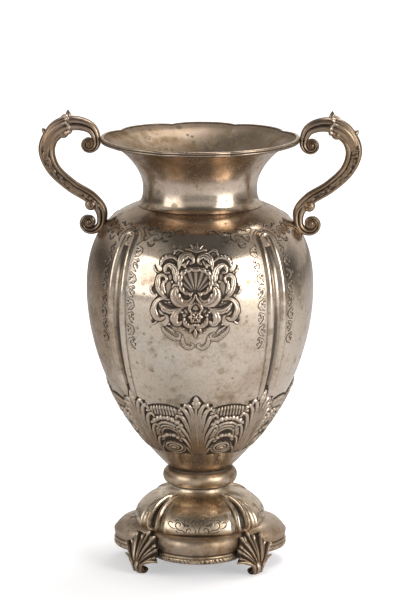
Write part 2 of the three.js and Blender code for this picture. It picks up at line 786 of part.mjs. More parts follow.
function makeFoot(base) {
  const notchRadius = baseRadius * lobeShare(45);
  const outer = notchRadius + footReach;
  const under = wireBase - footScrollDepth / 2;
  const toeLine = floorLevel + footScrollDepth / 2 - toeFlat;
  const scroll = course([
    [notchRadius - 5, under, footScrollDepth * 0.7, footScrollWidth * 0.8],
    [notchRadius + 8, under, footScrollDepth, footScrollWidth],
    [outer - 1.5, under - 1.5, footScrollDepth, footScrollWidth],
    [outer + 0.8, under * 0.55, footScrollDepth, footScrollWidth],
    [outer - 6.5, toeLine, footScrollDepth, footScrollWidth * 0.85],
    [outer - 12.5, toeLine + 0.9, footScrollDepth * 0.8, footScrollWidth * 0.75],
    [outer - 13.4, floorLevel + 7.4, footScrollDepth * 0.6, footScrollWidth * 0.65],
  ], footScrollSteps);
  const leaf = leafSlab(footLeafFace(notchRadius), footLeafThickness, 11, 2);
  const curl = button(outer - 12.6, floorLevel + 6.6, 3, footScrollWidth * 0.8, 10);
  const casting = union([bar(scroll), leaf, curl]);
  const below = new THREE.BoxGeometry(4 * baseRadius, 4 * baseRadius, toeRise);
  below.translate(0, 0, floorLevel - toeRise / 2);
  return geometryOf(casting.subtract(solidOf(below)).subtract(base));
}

// Everything of the base that a foot must clear, as one filled solid, turned to put a notch on +X.
function baseEnvelope() {
  const ledge = borderBase + borderHeight;
  const dome = turned([
    station(0, borderBase), ...stationsAlong(domePath(), domeRows, clearance), station(0, knopBase),
  ], domeLineCount, domeShape);
  const border = turned([
    station(0, wireBase),
    ...stationsAlong(borderPath(), borderRows, clearance),
    station(0, ledge + clearance),
  ], footLineCount, lobed);
  const wire = turned([
    station(0, wireBase - clearance), ...baseWireStations(clearance), station(0, borderBase),
  ], footLineCount, lobed);
  return union([dome, border, wire]).rotate([0, 0, 45]);
}

function bowlEnvelope() {
  return solidOf(turned([
    station(0, bowlBase), ...stationsAlong(bowlPath(), bowlRows, clearance), station(0, neckBase),
  ], bowlLineCount, bowlShape));
}

function rimEnvelope() {
  const [first, ...rest] = rimStations(clearance);
  return solidOf(turned([
    station(0, first.point.y), first, ...rest.slice(0, 6), station(0, lipLevel + rimHeight / 2 + clearance),
  ], neckLineCount, scalloped));
}

function mesh(name, geometry, color, roughness) {
  const piece = new THREE.Mesh(weld(geometry.clone()), finish(color, roughness));
  piece.geometry.computeVertexNormals();
  piece.name = name;
  return piece;
}

const foot = new THREE.Group();
foot.add(
  mesh('base_wire', turned(baseWireStations(0), footLineCount, lobed), silver, 0.32),
  mesh('base_border', makeBorder(), silver, 0.3),
  mesh('foot_dome', makeDome(), silver, 0.3),
);

const footGeometry = makeFoot(baseEnvelope());
const footNames = [
  'leaf_foot_right_back', 'leaf_foot_left_back', 'leaf_foot_left_front', 'leaf_foot_right_front',
];
footNames.forEach((name, index) => {
  const piece = mesh(name, footGeometry, darkSilver, 0.4);
  piece.rotation.z = Math.PI / 4 + (index * Math.PI) / 2;
  foot.add(piece);
});

const vessel = new THREE.Group();
vessel.add(
  mesh('knop_ring', makeKnop(), silver, 0.28),
  mesh('bowl', geometryOf(union([makeBowl(), ...bowlOrnament()])), silver, 0.25),
  mesh('neck', makeNeck(), silver, 0.25),
  mesh('rim_moulding', turned(rimStations(0), neckLineCount, scalloped), silver, 0.3),
);

const handleGeometry = makeHandle([bowlEnvelope(), rimEnvelope()]);
['handle_right', 'handle_left'].forEach((name, index) => {
  const piece = mesh(name, handleGeometry, darkSilver, 0.4);
  piece.rotation.z = index * Math.PI;
  vessel.add(piece);
});

const group = new THREE.Group();
group.add(foot, vessel);

export default group;
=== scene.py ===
import bpy
import numpy as np
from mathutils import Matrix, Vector


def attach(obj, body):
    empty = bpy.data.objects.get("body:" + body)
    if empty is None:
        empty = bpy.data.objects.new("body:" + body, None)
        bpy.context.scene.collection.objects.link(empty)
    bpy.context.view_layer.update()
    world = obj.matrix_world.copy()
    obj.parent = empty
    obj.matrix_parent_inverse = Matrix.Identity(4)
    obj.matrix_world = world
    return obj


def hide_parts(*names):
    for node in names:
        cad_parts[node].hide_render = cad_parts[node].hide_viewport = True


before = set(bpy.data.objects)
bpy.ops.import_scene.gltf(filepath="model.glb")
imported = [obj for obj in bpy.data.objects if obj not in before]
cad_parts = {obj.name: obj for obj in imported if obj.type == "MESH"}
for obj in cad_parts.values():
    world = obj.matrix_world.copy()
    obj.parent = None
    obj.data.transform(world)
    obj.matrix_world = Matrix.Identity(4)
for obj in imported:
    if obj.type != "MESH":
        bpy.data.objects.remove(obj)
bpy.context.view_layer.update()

# A two-handled silver vase, chased and tarnished. Lengths are in millimetres until makePiece.
# Azimuth 0 is the front (-Y) and grows counter-clockwise seen from above.
mm = 0.001
quarter = np.pi / 2
wall = 1.5  # thickness of the sheet


# Curves.

# Cubic Bezier: its four corners weighted by the terms of ((1 - t) + t) cubed.
def bezier(corners, count=240):
    t = np.linspace(0, 1, count)[:, None]
    a, b, c, d = np.array(corners, float)
    return (1 - t) ** 3 * a + 3 * (1 - t) ** 2 * t * b + 3 * (1 - t) * t ** 2 * c + t ** 3 * d


# Several Beziers end to end. Each part gives its three further corners.
def chain(start, *parts):
    pieces, last = [np.array([start], float)], start
    for part in parts:
        pieces.append(bezier([last, *part])[1:])
        last = part[-1]
    return np.vstack(pieces)


# Smooth line through points: each stretch is a cubic whose end slopes come from its neighbours,
# weighted by the square roots of the gaps between points.
def throughPoints(points, steps=12):
    p = np.array(points, float)
    p = np.vstack([2 * p[0] - p[1], p, 2 * p[-1] - p[-2]])
    gap = np.sqrt(np.maximum(np.linalg.norm(np.diff(p[:, :2], axis=0), axis=1), 1e-6))[:, None]
    a, b, c, d = p[:-3], p[1:-2], p[2:-1], p[3:]
    g0, g1, g2 = gap[:-2], gap[1:-1], gap[2:]
    slopeB = ((b - a) / g0 - (c - a) / (g0 + g1) + (c - b) / g1) * g1
    slopeC = ((c - b) / g1 - (d - b) / (g1 + g2) + (d - c) / g2) * g1
    t = (np.arange(steps) / steps)[None, :, None]
    b, c, slopeB, slopeC = (v[:, None, :] for v in (b, c, slopeB, slopeC))
    square, cube = 3 * (c - b) - 2 * slopeB - slopeC, 2 * (b - c) + slopeB + slopeC
    line = b + slopeB * t + square * t ** 2 + cube * t ** 3
    return np.vstack([line.reshape(-1, p.shape[1]), p[-2:-1]])


# Length along a line at each of its points.
def lengthsAlong(points):
    return np.concatenate([[0], np.cumsum(np.hypot(*np.diff(points[:, :2], axis=0).T))])


# Place and outward normal of a climbing profile at given lengths along it.
def atLengths(profile, stops):
    length, keep = np.unique(lengthsAlong(profile), return_index=True)
    slope = np.gradient(profile[keep], length, axis=0)
    place, way = (np.stack([np.interp(stops, length, values[:, k]) for k in (0, 1)], axis=-1)
                  for values in (profile[keep], slope))
    way /= np.linalg.norm(way, axis=-1, keepdims=True)
    return place, np.stack([way[..., 1], -way[..., 0]], axis=-1)


# Closed section of a sheet: places up a profile and down its inside, with their outward normals.
def sheetOf(profile, rows, insideRows):
    length = lengthsAlong(profile)[-1]
    place, face = atLengths(profile, np.linspace(0, length, rows))
    inPlace, inFace = atLengths(profile, np.linspace(0, length, insideRows)[::-1])
    return np.vstack([place, inPlace - inFace * wall]), np.vstack([face, inFace])


# 0 below low, 1 above high, and t * t * (3 - 2t) between. low may be the greater.
def smoothStep(value, low, high):
    t = np.clip((value - low) / (high - low), 0, 1)
    return t * t * (3 - 2 * t)


# a at share 0 and b at share 1, even between.
def blend(a, b, share):
    return a + (b - a) * share


# Bell curve, 1 in the middle: exp(-((value - middle) / width) ^ power).
def bell(value, middle, width, power=2):
    return np.exp(-((value - middle) / width) ** power)


# Angles evenly round a turn.
def around(count):
    return np.arange(count) / count * 2 * np.pi


# Local mean over a Gaussian window, worked out with a Fourier transform of the padded field.
def blurred(field, sigma, wrap=False):
    margin = int(3 * sigma) + 1
    side = 0 if wrap else margin
    padded = np.pad(field, ((margin, margin), (side, side)), mode="edge")
    fy = np.fft.fftfreq(padded.shape[0])[:, None]
    fx = np.fft.rfftfreq(padded.shape[1])[None, :]
    window = np.exp(-2 * (np.pi * sigma) ** 2 * (fx ** 2 + fy ** 2))
    mean = np.fft.irfft2(np.fft.rfft2(padded) * window, s=padded.shape)
    return mean[margin:margin + field.shape[0], side:side + field.shape[1]]


# Smooth random field with mean 0 and spread 1, the same each run.
def wander(shape, sigma, seed, wrap=False):
    field = blurred(np.random.default_rng(seed).standard_normal(shape), sigma, wrap)
    return (field - field.mean()) / field.std()


# How hollow each place is, 0 in a recess and 1 on a crest: the height less its local mean.
def hollowness(height, sigma, depth, wrap=False):
    return np.clip(0.5 + (height - blurred(height, sigma, wrap)) / depth, 0, 1)


# Distance in from the edges of a sheet that is 2 * halfAcross wide and runs from low to high.
def fromEdge(x, y, halfAcross, low, high):
    return np.minimum(halfAcross - np.abs(x), np.minimum(y - low, high - y))


# Meshes.

# A closed skin from a grid of points: rows, columns, xyz. A grid that wraps only one way gets flat caps.
def skin(points, relief, wrapColumns=True, wrapRows=False, flip=False):
    rows, columns = points.shape[:2]
    index = np.arange(rows * columns).reshape(rows, columns)
    wide = np.hstack([index, index[:, :1]]) if wrapColumns else index
    tall = np.vstack([wide, wide[:1]]) if wrapRows else wide
    quads = np.stack([tall[:-1, :-1], tall[:-1, 1:], tall[1:, 1:], tall[1:, :-1]], axis=-1).reshape(-1, 4)
    caps = []
    if wrapColumns and not wrapRows:
        caps = [index[0, ::-1], index[-1]]
    if wrapRows and not wrapColumns:
        caps = [index[:, 0], index[::-1, -1]]
    if flip:
        quads, caps = quads[:, ::-1], [cap[::-1] for cap in caps]
    return points.reshape(-1, 3), quads, caps, np.broadcast_to(relief, (rows, columns)).reshape(-1)


# The front and back of a plate as one skin. The back's relief is neutral unless given.
def plate(front, back, relief, backRelief=0.5, wrap=False):
    relief = np.concatenate([relief, np.full(back.shape[:2], backRelief)])
    return skin(np.concatenate([front, back]), relief, wrapColumns=wrap, wrapRows=True)


# A skin turned by an angle about the vase's axis.
def turnedSkin(skinParts, angle):
    points, quads, caps, relief = skinParts
    c, s = np.cos(angle), np.sin(angle)
    turn = np.array([[c, s, 0], [-s, c, 0], [0, 0, 1]])
    return points @ turn, quads, caps, relief


# Joins skins into one mesh object in metres, with its relief as an attribute. A lining is a second finish for
# the faces from one index up to another.
def makePiece(name, skins, finish, nodes, sharpAngle=None, lining=None, lined=()):
    points = np.vstack([part[0] for part in skins]) * mm
    starts = np.cumsum([0] + [len(part[0]) for part in skins])
    quads = np.vstack([part[1] + start for part, start in zip(skins, starts)])
    caps = [cap + start for part, start in zip(skins, starts) for cap in part[2]]
    loops = np.concatenate([quads.reshape(-1), *caps]).astype(np.int32)
    sizes = np.concatenate([np.full(len(quads), 4), [len(cap) for cap in caps]]).astype(np.int32)
    mesh = bpy.data.meshes.new(name)
    mesh.vertices.add(len(points))
    mesh.vertices.foreach_set("co", points.astype(np.float32).reshape(-1))
    mesh.loops.add(len(loops))
    mesh.loops.foreach_set("vertex_index", loops)
    mesh.polygons.add(len(sizes))
    mesh.polygons.foreach_set("loop_start", np.concatenate([[0], np.cumsum(sizes)[:-1]]).astype(np.int32))
    mesh.polygons.foreach_set("loop_total", sizes)
    mesh.update(calc_edges=True)
    mesh.polygons.foreach_set("use_smooth", np.ones(len(sizes), bool))
    relief = mesh.attributes.new("relief", "FLOAT", "POINT")
    relief.data.foreach_set("value", np.concatenate([part[3] for part in skins]).astype(np.float32))
    if sharpAngle:
        mesh.set_sharp_from_angle(angle=np.radians(sharpAngle))
    mesh.validate()
    piece = bpy.data.objects.new(name, mesh)
    bpy.context.scene.collection.objects.link(piece)
    mesh.materials.append(finishes[finish])
    if lining:
        mesh.materials.append(finishes[lining])
        inside = np.zeros(len(sizes), np.int32)
        inside[slice(*lined)] = 1
        mesh.polygons.foreach_set("material_index", inside)
    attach(piece, "root")
    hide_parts(*nodes)
    print(name, "has", 2 * len(quads) + sum(len(cap) - 2 for cap in caps), "triangles")


# Points at a radius and height on the meridian at an azimuth.
def onTurn(azimuth, radius, height):
    azimuth, radius, height = np.broadcast_arrays(azimuth, radius, height)
    return np.stack([radius * np.sin(azimuth), -radius * np.cos(azimuth), height], axis=-1)


# The same off a sheet: places of its profile moved out along their normals by a height, then drawn in.
def offSheet(azimuth, place, face, height, drawIn=0.0):
    return onTurn(azimuth, place[:, :1] + face[:, :1] * height - drawIn, place[:, 1:] + face[:, 1:] * height)


# Degrees from the nearer of the front and back, 0 to 90.
def folded(azimuth):
    turn = np.degrees(azimuth) % 180
    return np.minimum(turn, 180 - turn)


# Row of azimuths, closer together where weight is high. weight is a function of the folded angle.
def unevenLines(count, weight):
    fine = np.linspace(0, 2 * np.pi, 14401)
    share = np.concatenate([[0], np.cumsum(weight(folded((fine[1:] + fine[:-1]) / 2)))])
    return np.interp(np.arange(count) / count * share[-1], share, fine)[None, :]


# Relief work: strokes on a flat drawing in millimetres.

# Distance from each point to a line, how far along it (0 to 1), and which side it is on.
def nearest(x, y, line):
    start, step = line[:-1, :2], np.diff(line[:, :2], axis=0)
    square = np.maximum((step ** 2).sum(axis=1), 1e-9)
    total = lengthsAlong(line)
    dx, dy = x[:, None] - start[:, 0], y[:, None] - start[:, 1]
    t = np.clip((dx * step[:, 0] + dy * step[:, 1]) / square, 0, 1)
    ex, ey = dx - t * step[:, 0], dy - t * step[:, 1]
    gap = ex ** 2 + ey ** 2
    best = gap.argmin(axis=1)
    row = np.arange(len(x))
    side = np.sign(step[best, 0] * ey[row, best] - step[best, 1] * ex[row, best])
    share = (total[best] + t[row, best] * np.sqrt(square[best])) / total[-1]
    return np.sqrt(gap[row, best]), share, side


class Drawing:
    # A height field that strokes are raised on. x and y are its places, mirrored by the caller if wanted.
    def __init__(self, x, y):
        self.x, self.y = x.astype(np.float32), y.astype(np.float32)
        self.height = np.zeros(x.shape, np.float32)

    # Mask of the places in the line's box, widened by reach.
    def near(self, line, reach):
        low, high = line[:, :2].min(axis=0) - reach, line[:, :2].max(axis=0) + reach
        return (self.x > low[0]) & (self.x < high[0]) & (self.y > low[1]) & (self.y < high[1])

    def raiseTo(self, mask, value):
        self.height[mask] = np.maximum(self.height[mask], value)

    # Scroll: round section of half-width w along a line, h * (1 - (d / w) ** 2.4) ** 0.5, with a hollow down
    # its middle, lobes cut into one edge or both, and grooves that follow it. widths are half-widths at even
    # shares. The sign of lobes picks the edge, and a half lobe cuts both. side is 1 on the left of the line.
    def scroll(self, points, widths, height, hollow=0.0, lobes=0, ruffle=0.0, grooves=0, grooveDepth=0.0):
        line = throughPoints(points, 8)
        mask = self.near(line, 1.3 * max(widths))
        if not mask.any():
            return
        d, share, side = nearest(self.x[mask], self.y[mask], line)
        w = np.interp(share, np.linspace(0, 1, len(widths)), widths)
        wave = np.abs(np.cos(np.pi * lobes * share)) ** 0.7
        cutSide = 1 if lobes % 1 else (side * np.sign(lobes) > 0)
        w = w * (1 - ruffle * (1 - wave) * cutSide * (lobes != 0))
        across = d / np.maximum(w, 0.05)
        body = np.sqrt(np.clip(1 - across ** 2.4, 0, 1)) * np.clip(w / np.max(widths), 0.3, 1) ** 0.6
        body = body * (1 - hollow * bell(across, 0, 0.42))
        if grooves:
            ribs = np.abs(np.sin(np.pi * (grooves + 1) * (side * across + 1) / 2)) ** 0.6
            body = body * (1 - grooveDepth * (1 - ribs) * smoothStep(share, 0.0, 0.2))
        self.raiseTo(mask, (height * body).astype(np.float32))

    # Boss: an oval dome, with lobes round it when asked.
    def boss(self, x, y, across, up, height, lobes=0, depth=0.0):
        mask = (np.abs(self.x - x) < 1.2 * across) & (np.abs(self.y - y) < 1.2 * up)
        dx, dy = (self.x[mask] - x) / across, (self.y[mask] - y) / up
        lobe = 1 - depth * (0.5 - 0.5 * np.cos(lobes * np.arctan2(dy, dx)))
        out = np.hypot(dx, dy) / lobe
        self.raiseTo(mask, height * np.sqrt(np.clip(1 - out ** 2, 0, 1)))


# Raised work on its ground: the ground shows near the strokes and dives under the sheet elsewhere.
def onGround(strokes, spacing, ground, dive, spread, wrap=False):
    near = smoothStep(blurred((strokes > 0.25).astype(float), spread / spacing, wrap), 0.1, 0.32)
    raised = strokes > 0.02
    return np.maximum(blend(-dive, ground, near), strokes + ground * raised - dive * ~raised)


# Cut outline of strokes, 1 on the line: where their blurred mask passes 0.45.
def cutLine(strokes, spacing, width):
    return bell(blurred((strokes > 0.12).astype(float), width / spacing), 0.45, 0.24)


# Finishes.

class Shade:
    # A socket used as a value: a sum or product of values adds its Math nodes.
    def __init__(self, tree, socket=None):
        self.tree, self.socket = tree, socket

    # Adds any node. Settings are set first, then its sockets take values or links. Keys may be numbers.
    def node(self, kind, settings=None, inputs=None, output=0):
        made = self.tree.nodes.new(kind)
        for name, value in (settings or {}).items():
            if name == "stops":
                ramp = made.color_ramp.elements
                while len(ramp) < len(value):
                    ramp.new(0.5)
                for element, (place, colour) in zip(ramp, value):
                    element.position, element.color = place, (*colour, 1)
            else:
                setattr(made, name, value)
        for name, value in (inputs or {}).items():
            if isinstance(value, Shade):
                self.tree.links.new(value.socket, made.inputs[name])
            else:
                made.inputs[name].default_value = value
        return Shade(self.tree, made.outputs[output])

    def maths(self, operation, first, second=0.0, clamp=False):
        settings = {"operation": operation, "use_clamp": clamp}
        return self.node("ShaderNodeMath", settings, {0: first, 1: second})

    def __add__(self, other):
        return self.maths("ADD", self, other)

    def __sub__(self, other):
        return self.maths("SUBTRACT", self, other)

    def __mul__(self, other):
        return self.maths("MULTIPLY", self, other)

    def __rsub__(self, other):
        return self.maths("SUBTRACT", other, self)

    __radd__, __rmul__ = __add__, __mul__

    # 0 below low, 1 above high, smooth between. low may be the greater.
    def step(self, low, high):
        flipped = low > high
        ends = (high, low) if flipped else (low, high)
        return self.node("ShaderNodeMapRange", {"interpolation_type": "SMOOTHSTEP"},
                         {"Value": self, "From Min": ends[0], "From Max": ends[1],
                          "To Min": float(flipped), "To Max": float(not flipped)})

    def mix(self, first, second):
        return self.node("ShaderNodeMix", {"data_type": "RGBA"}, {0: self, 6: first, 7: second}, 2)

    def part(self, axis):
        return self.node("ShaderNodeSeparateXYZ", {}, {0: self}, axis)


# Linear colours of the metal and of what lies on it; brown and oxide also serve as painted shade.
silverTones = {
    "bright": (0.76, 0.655, 0.55, 1),
    "warm": (0.47, 0.365, 0.26, 1),
    "stain": (0.30, 0.215, 0.135, 1),
    "brown": (0.26, 0.16, 0.08, 1),
    "pink": (0.66, 0.51, 0.46, 1),
    "cool": (0.68, 0.66, 0.60, 1),
    "olive": (0.24, 0.19, 0.10, 1),
    "oxideAndShade": (0.030, 0.020, 0.013, 1),
}


# Aged silver: bright metal, warm haze in wide clouds, brown tarnish in patches, brown zones by height that
# hold tarnish and painted shade, painted shade on the vase's left and right sides, black oxide where the
# relief is hollow and painted shade where a piece lowers its relief for it, brown spots, and fine scratches
# that change gloss and bump.
def silver(name, look):
    material = bpy.data.materials.new(name)
    material.use_nodes = True
    tree = material.node_tree
    start = Shade(tree)
    place = start.node("ShaderNodeTexCoord", output="Object")

    def moved(offset, stretch=(1, 1, 1)):
        return start.node("ShaderNodeMapping", {},
                          {"Vector": place, "Location": (offset,) * 3, "Scale": stretch})

    def noise(scale, detail=3, rough=0.55, stretch=(1, 1, 1), offset=0.0):
        return start.node("ShaderNodeTexNoise", {}, {"Vector": moved(offset, stretch), "Scale": scale,
                                                     "Detail": detail, "Roughness": rough})

    def cells(scale, offset, output):
        return start.node("ShaderNodeTexVoronoi", {}, {"Vector": moved(offset), "Scale": scale}, output)

    relief = start.node("ShaderNodeAttribute", {"attribute_name": "relief"}, {}, "Fac")
    sideways = place.part("X")
    cloud = noise(16, 4)
    mottle = noise(95, 6, 0.65, offset=3.1)
    grain = noise(420, 4, 0.7, offset=7.7)
    speck = noise(330, 5, 0.8, offset=17.3)
    haze = (cloud.step(0.42, 0.66) * look["haze"] + mottle.step(0.5, 0.72) * look["mottle"]
            + speck.step(0.49, 0.66) * look["speck"])

    # Brown zones by height, from pairs of level and strength: tarnish, and painted shade and reflection low
    # on the bowl, at its shoulder under the neck and down inside the mouth. Painted shade on the vase's left
    # and right sides, by the look's left and right strengths.
    levels = look["zones"]
    low, high = levels[0][0], levels[-1][0]
    stops = [((level - low) / (high - low), (strength,) * 3) for level, strength in levels]
    climb = start.node("ShaderNodeMapRange", {},
                       {"Value": place.part("Z"), "From Min": low * mm, "From Max": high * mm})
    zone = start.node("ShaderNodeValToRGB", {"stops": stops}, {"Fac": climb})
    paintedSideShade = sideways.step(-0.068, -0.108) * look["left"] + sideways.step(0.085, 0.112) * look["right"]
    uneven = 0.45 + mottle * 1.1 + cloud.step(0.35, 0.7) * 0.35
    brown = start.maths("MULTIPLY", zone + paintedSideShade, uneven, clamp=True)

    # Stains: blotches with a crisp edge, and fine pits inside them.
    blotch = noise(24, 7, 0.62, offset=12.4)
    stain = blotch.step(look["stainsFrom"], 0.6) * (0.35 + mottle.step(0.4, 0.62) * 0.65) * look["stains"]

    # Spots: cells whose colour value is high carry a brown dot.
    def spotted(scale, size, share, offset):
        distance = cells(scale, offset, "Distance")
        pick = cells(scale, offset, "Color").part("X")
        return distance.step(size, size * 0.45) * pick.step(1 - share, 1 - share + 0.06)

    spots = start.maths("MAXIMUM", spotted(42, 0.2, 0.42 * look["spots"], 1.3) * 0.85,
                        spotted(140, 0.3, 0.2 * look["spots"], 5.9))

    # Near-black from the relief attribute: oxide in the hollows, and painted shade where a piece lowers its
    # relief for shade.
    oxideAndShade = start.maths("MULTIPLY", relief.step(0.49, look["oxideAndShadeFrom"]), look["oxideAndShade"], clamp=True)
    crest = relief.step(0.56, 0.86)

    drift = noise(13, 3, offset=21.7)
    colour = (drift.step(0.5, 0.7) * 0.55).mix(look["base"], silverTones["pink"])
    for mask, tone in ((drift.step(0.48, 0.3) * 0.5, "cool"), (haze, "warm"), (stain, "stain"),
                       (brown, "brown"), (crest * look["crest"], "bright"), (spots * 0.7, "olive"),
                       (oxideAndShade, "oxideAndShade")):
        colour = mask.mix(colour, silverTones[tone])

    scratches = (noise(38, 2, 0.5, stretch=(1, 1, 14), offset=2.2) * 0.5
                 + noise(52, 2, 0.5, stretch=(12, 12, 1)) * 0.5)
    rough = (look["rough"] + haze * 0.08 + stain * 0.14 + brown * 0.16 + oxideAndShade * 0.28 + spots * 0.2
             + (scratches - 0.5) * 0.12 + (grain - 0.5) * 0.1 - crest * 0.05)
    metallic = start.maths("SUBTRACT", 1.0, oxideAndShade * 0.45 + spots * 0.35 + brown * 0.12, clamp=True)
    bumps = (grain * 0.35 + mottle * 0.9 + scratches * 0.5 - spots * 0.5
             + noise(30, 2, offset=9.0) * look["dents"])
    normal = start.node("ShaderNodeBump", {}, {"Height": bumps, "Distance": 0.0004, "Strength": look["bump"]})

    sockets = tree.nodes["Principled BSDF"].inputs
    fed = {"Base Color": colour, "Roughness": rough, "Metallic": metallic, "Normal": normal}
    for socket, value in fed.items():
        tree.links.new(value.socket, sockets[socket])
    return material


# What a finish has unless its look says otherwise.
# left and right: strengths of the painted shade on the vase's left and right sides.
usualLook = dict(haze=0.45, mottle=0.6, speck=0.35, stains=1, stainsFrom=0.53, spots=0.3, oxideAndShade=0.95,
                 oxideAndShadeFrom=0.18, crest=0.3, rough=0.24, dents=1, bump=0.16, left=0, right=0,
                 base=silverTones["bright"])
looks = {
    "bowl": dict(haze=0.5, speck=0.6, stains=0.65, spots=1.1, oxideAndShade=0.92, oxideAndShadeFrom=0.16, crest=0.35,
                 rough=0.11, dents=1.4, left=0.6, right=0.2,
                 zones=[(95, 0.75), (120, 0.5), (150, 0.12), (200, 0.06), (320, 0.04), (345, 0.06),
                        (358, 0.34), (366, 0.6)]),
    "chasing": dict(haze=0.35, mottle=0.3, stains=0.3, oxideAndShade=0.97, oxideAndShadeFrom=0.24, crest=0.8, rough=0.2,
                    dents=0.3, bump=0.22, left=0.5, right=0.3,
                    zones=[(95, 0.8), (125, 0.72), (150, 0.5), (200, 0.25), (330, 0.15), (350, 0.35),
                           (366, 0.7)]),
    "neck": dict(speck=0.55, stainsFrom=0.47, spots=1.6, oxideAndShade=0.9, oxideAndShadeFrom=0.12, rough=0.15,
                 zones=[(360, 0.55), (368, 0.14), (376, 0.05), (392, 0.2), (406, 0.55), (426, 0.75),
                        (436, 0.4)]),
    # Inside of the neck: its dark base, and zones browner lower down, are tarnish with painted shade inside
    # the mouth.
    "mouth": dict(mottle=0.9, speck=0.7, stainsFrom=0.48, spots=3.2, oxideAndShade=0.9, oxideAndShadeFrom=0.12, rough=0.4,
                  dents=0.8, bump=0.3, left=0.35, right=0.35, base=(0.28, 0.24, 0.195, 1),
                  zones=[(360, 0.9), (390, 0.6), (405, 0.3), (424, 0.25), (436, 0.6)]),
    "rim": dict(haze=0.3, mottle=0.3, stains=0.5, spots=0.5, oxideAndShadeFrom=0.2, crest=0.6, rough=0.18,
                dents=0.4, bump=0.15,
                zones=[(420, 0.45), (436, 0.45)]),
    "foot": dict(haze=0.55, mottle=0.55, spots=1.2, crest=0.5, rough=0.23, bump=0.18,
                 base=(0.85, 0.71, 0.545, 1),
                 zones=[(14, 0.6), (26, 0.3), (42, 0.6), (47, 0.14), (56, 0.06), (70, 0.04), (76, 0.3),
                        (84, 0.42), (96, 0.6)]),
    "border": dict(haze=0.6, mottle=0.55, spots=1.2, rough=0.3, bump=0.18,
                   zones=[(14, 0.55), (26, 0.5), (30, 0.45), (37, 0.45), (40, 0.45), (46, 0.25)]),
    "cast": dict(haze=0.4, mottle=0.4, stains=0.3, spots=0.2, oxideAndShade=0.98, oxideAndShadeFrom=0.36, crest=0.62,
                 dents=0.3, bump=0.25,
                 zones=[(0, 0.75), (20, 0.7), (44, 0.6)]),
    "handle": dict(haze=0.6, speck=0.6, stains=0.4, oxideAndShade=0.97, oxideAndShadeFrom=0.22, crest=0.4, dents=0.4,
                   bump=0.22, base=(0.27, 0.222, 0.185, 1),
                   zones=[(330, 0.35), (380, 0.45), (430, 0.42), (460, 0.35)]),
}
finishes = {key: silver("silver_" + key, {**usualLook, **look}) for key, look in looks.items()}
print("finishes made")

# Bowl.

bowl = {
    "lines": 384, "rows": 200, "insideRows": 22, "radius": 113.4, "widest": 282.0, "reliefBack": 1.0,
    "fluteTopAngle": 43.0, "fluteFootAngle": 46.0, "fluteTopLevel": 350.0, "fluteFootLevel": 182.0,
    "fluteHalfWidth": 12.5, "fluteTaper": 1.8, "rib": 2.4, "groove": 2.4,
    "plugRadius": 29.2, "plugBase": 94.3, "plugTop": 97.5, "floorLevel": 99.1, "floorHole": 2.0,
}
bowlProfile = chain((31, 97.6), [(68.52, 132.59), (bowl["radius"], 202.9), (bowl["radius"], bowl["widest"])],
                    [(bowl["radius"], 322.8), (100.92, 354.18), (61.8, 365.4)])
bowlLengths = lengthsAlong(bowlProfile)


# Length along the bowl's profile at a level.
def bowlLength(level):
    return np.interp(level, bowlProfile[:, 1], bowlLengths)


# Hairpin flute: a round groove between two round ribs that meet in a round top. By distance d from its
# middle line, in half-widths: -groove * (1 - (d / valley)^2)^0.7, and rib * (1 - ((d - crest) / half)^2)^0.7
# beyond that.
def hairpin(across, past, halfWidth, rib, groove, valley=0.4):
    d = np.hypot(across, np.maximum(past, 0)) / halfWidth
    crest, half = (1 + valley) / 2, (1 - valley) / 2
    hollow = -groove * np.clip(1 - (d / valley) ** 2, 0, 1) ** 0.7
    return hollow + rib * np.clip(1 - ((d - crest) / half) ** 2, 0, 1) ** 0.7


# Folded angle of the flutes' middle lines at a level: it goes evenly from the foot angle to the top angle.
def fluteMiddle(level):
    low, high = bowl["fluteFootLevel"], bowl["fluteTopLevel"]
    climb = np.clip((level - low) / (high - low), 0, 1)
    return blend(bowl["fluteFootAngle"], bowl["fluteTopAngle"], climb)


# Distance across the nearest flute, distance past its ends, and its half-width, at places on the bowl.
def fluteAt(azimuth, radius, level):
    halfWidth = bowl["fluteHalfWidth"] * np.minimum(1, radius / bowl["radius"]) ** bowl["fluteTaper"]
    across = np.radians(folded(azimuth) - fluteMiddle(level)) * radius
    arc = bowlLength(level)
    past = np.maximum(arc - (bowlLength(bowl["fluteTopLevel"]) - halfWidth),
                      bowlLength(bowl["fluteFootLevel"]) - arc)
    return across, past, np.maximum(halfWidth, 1)


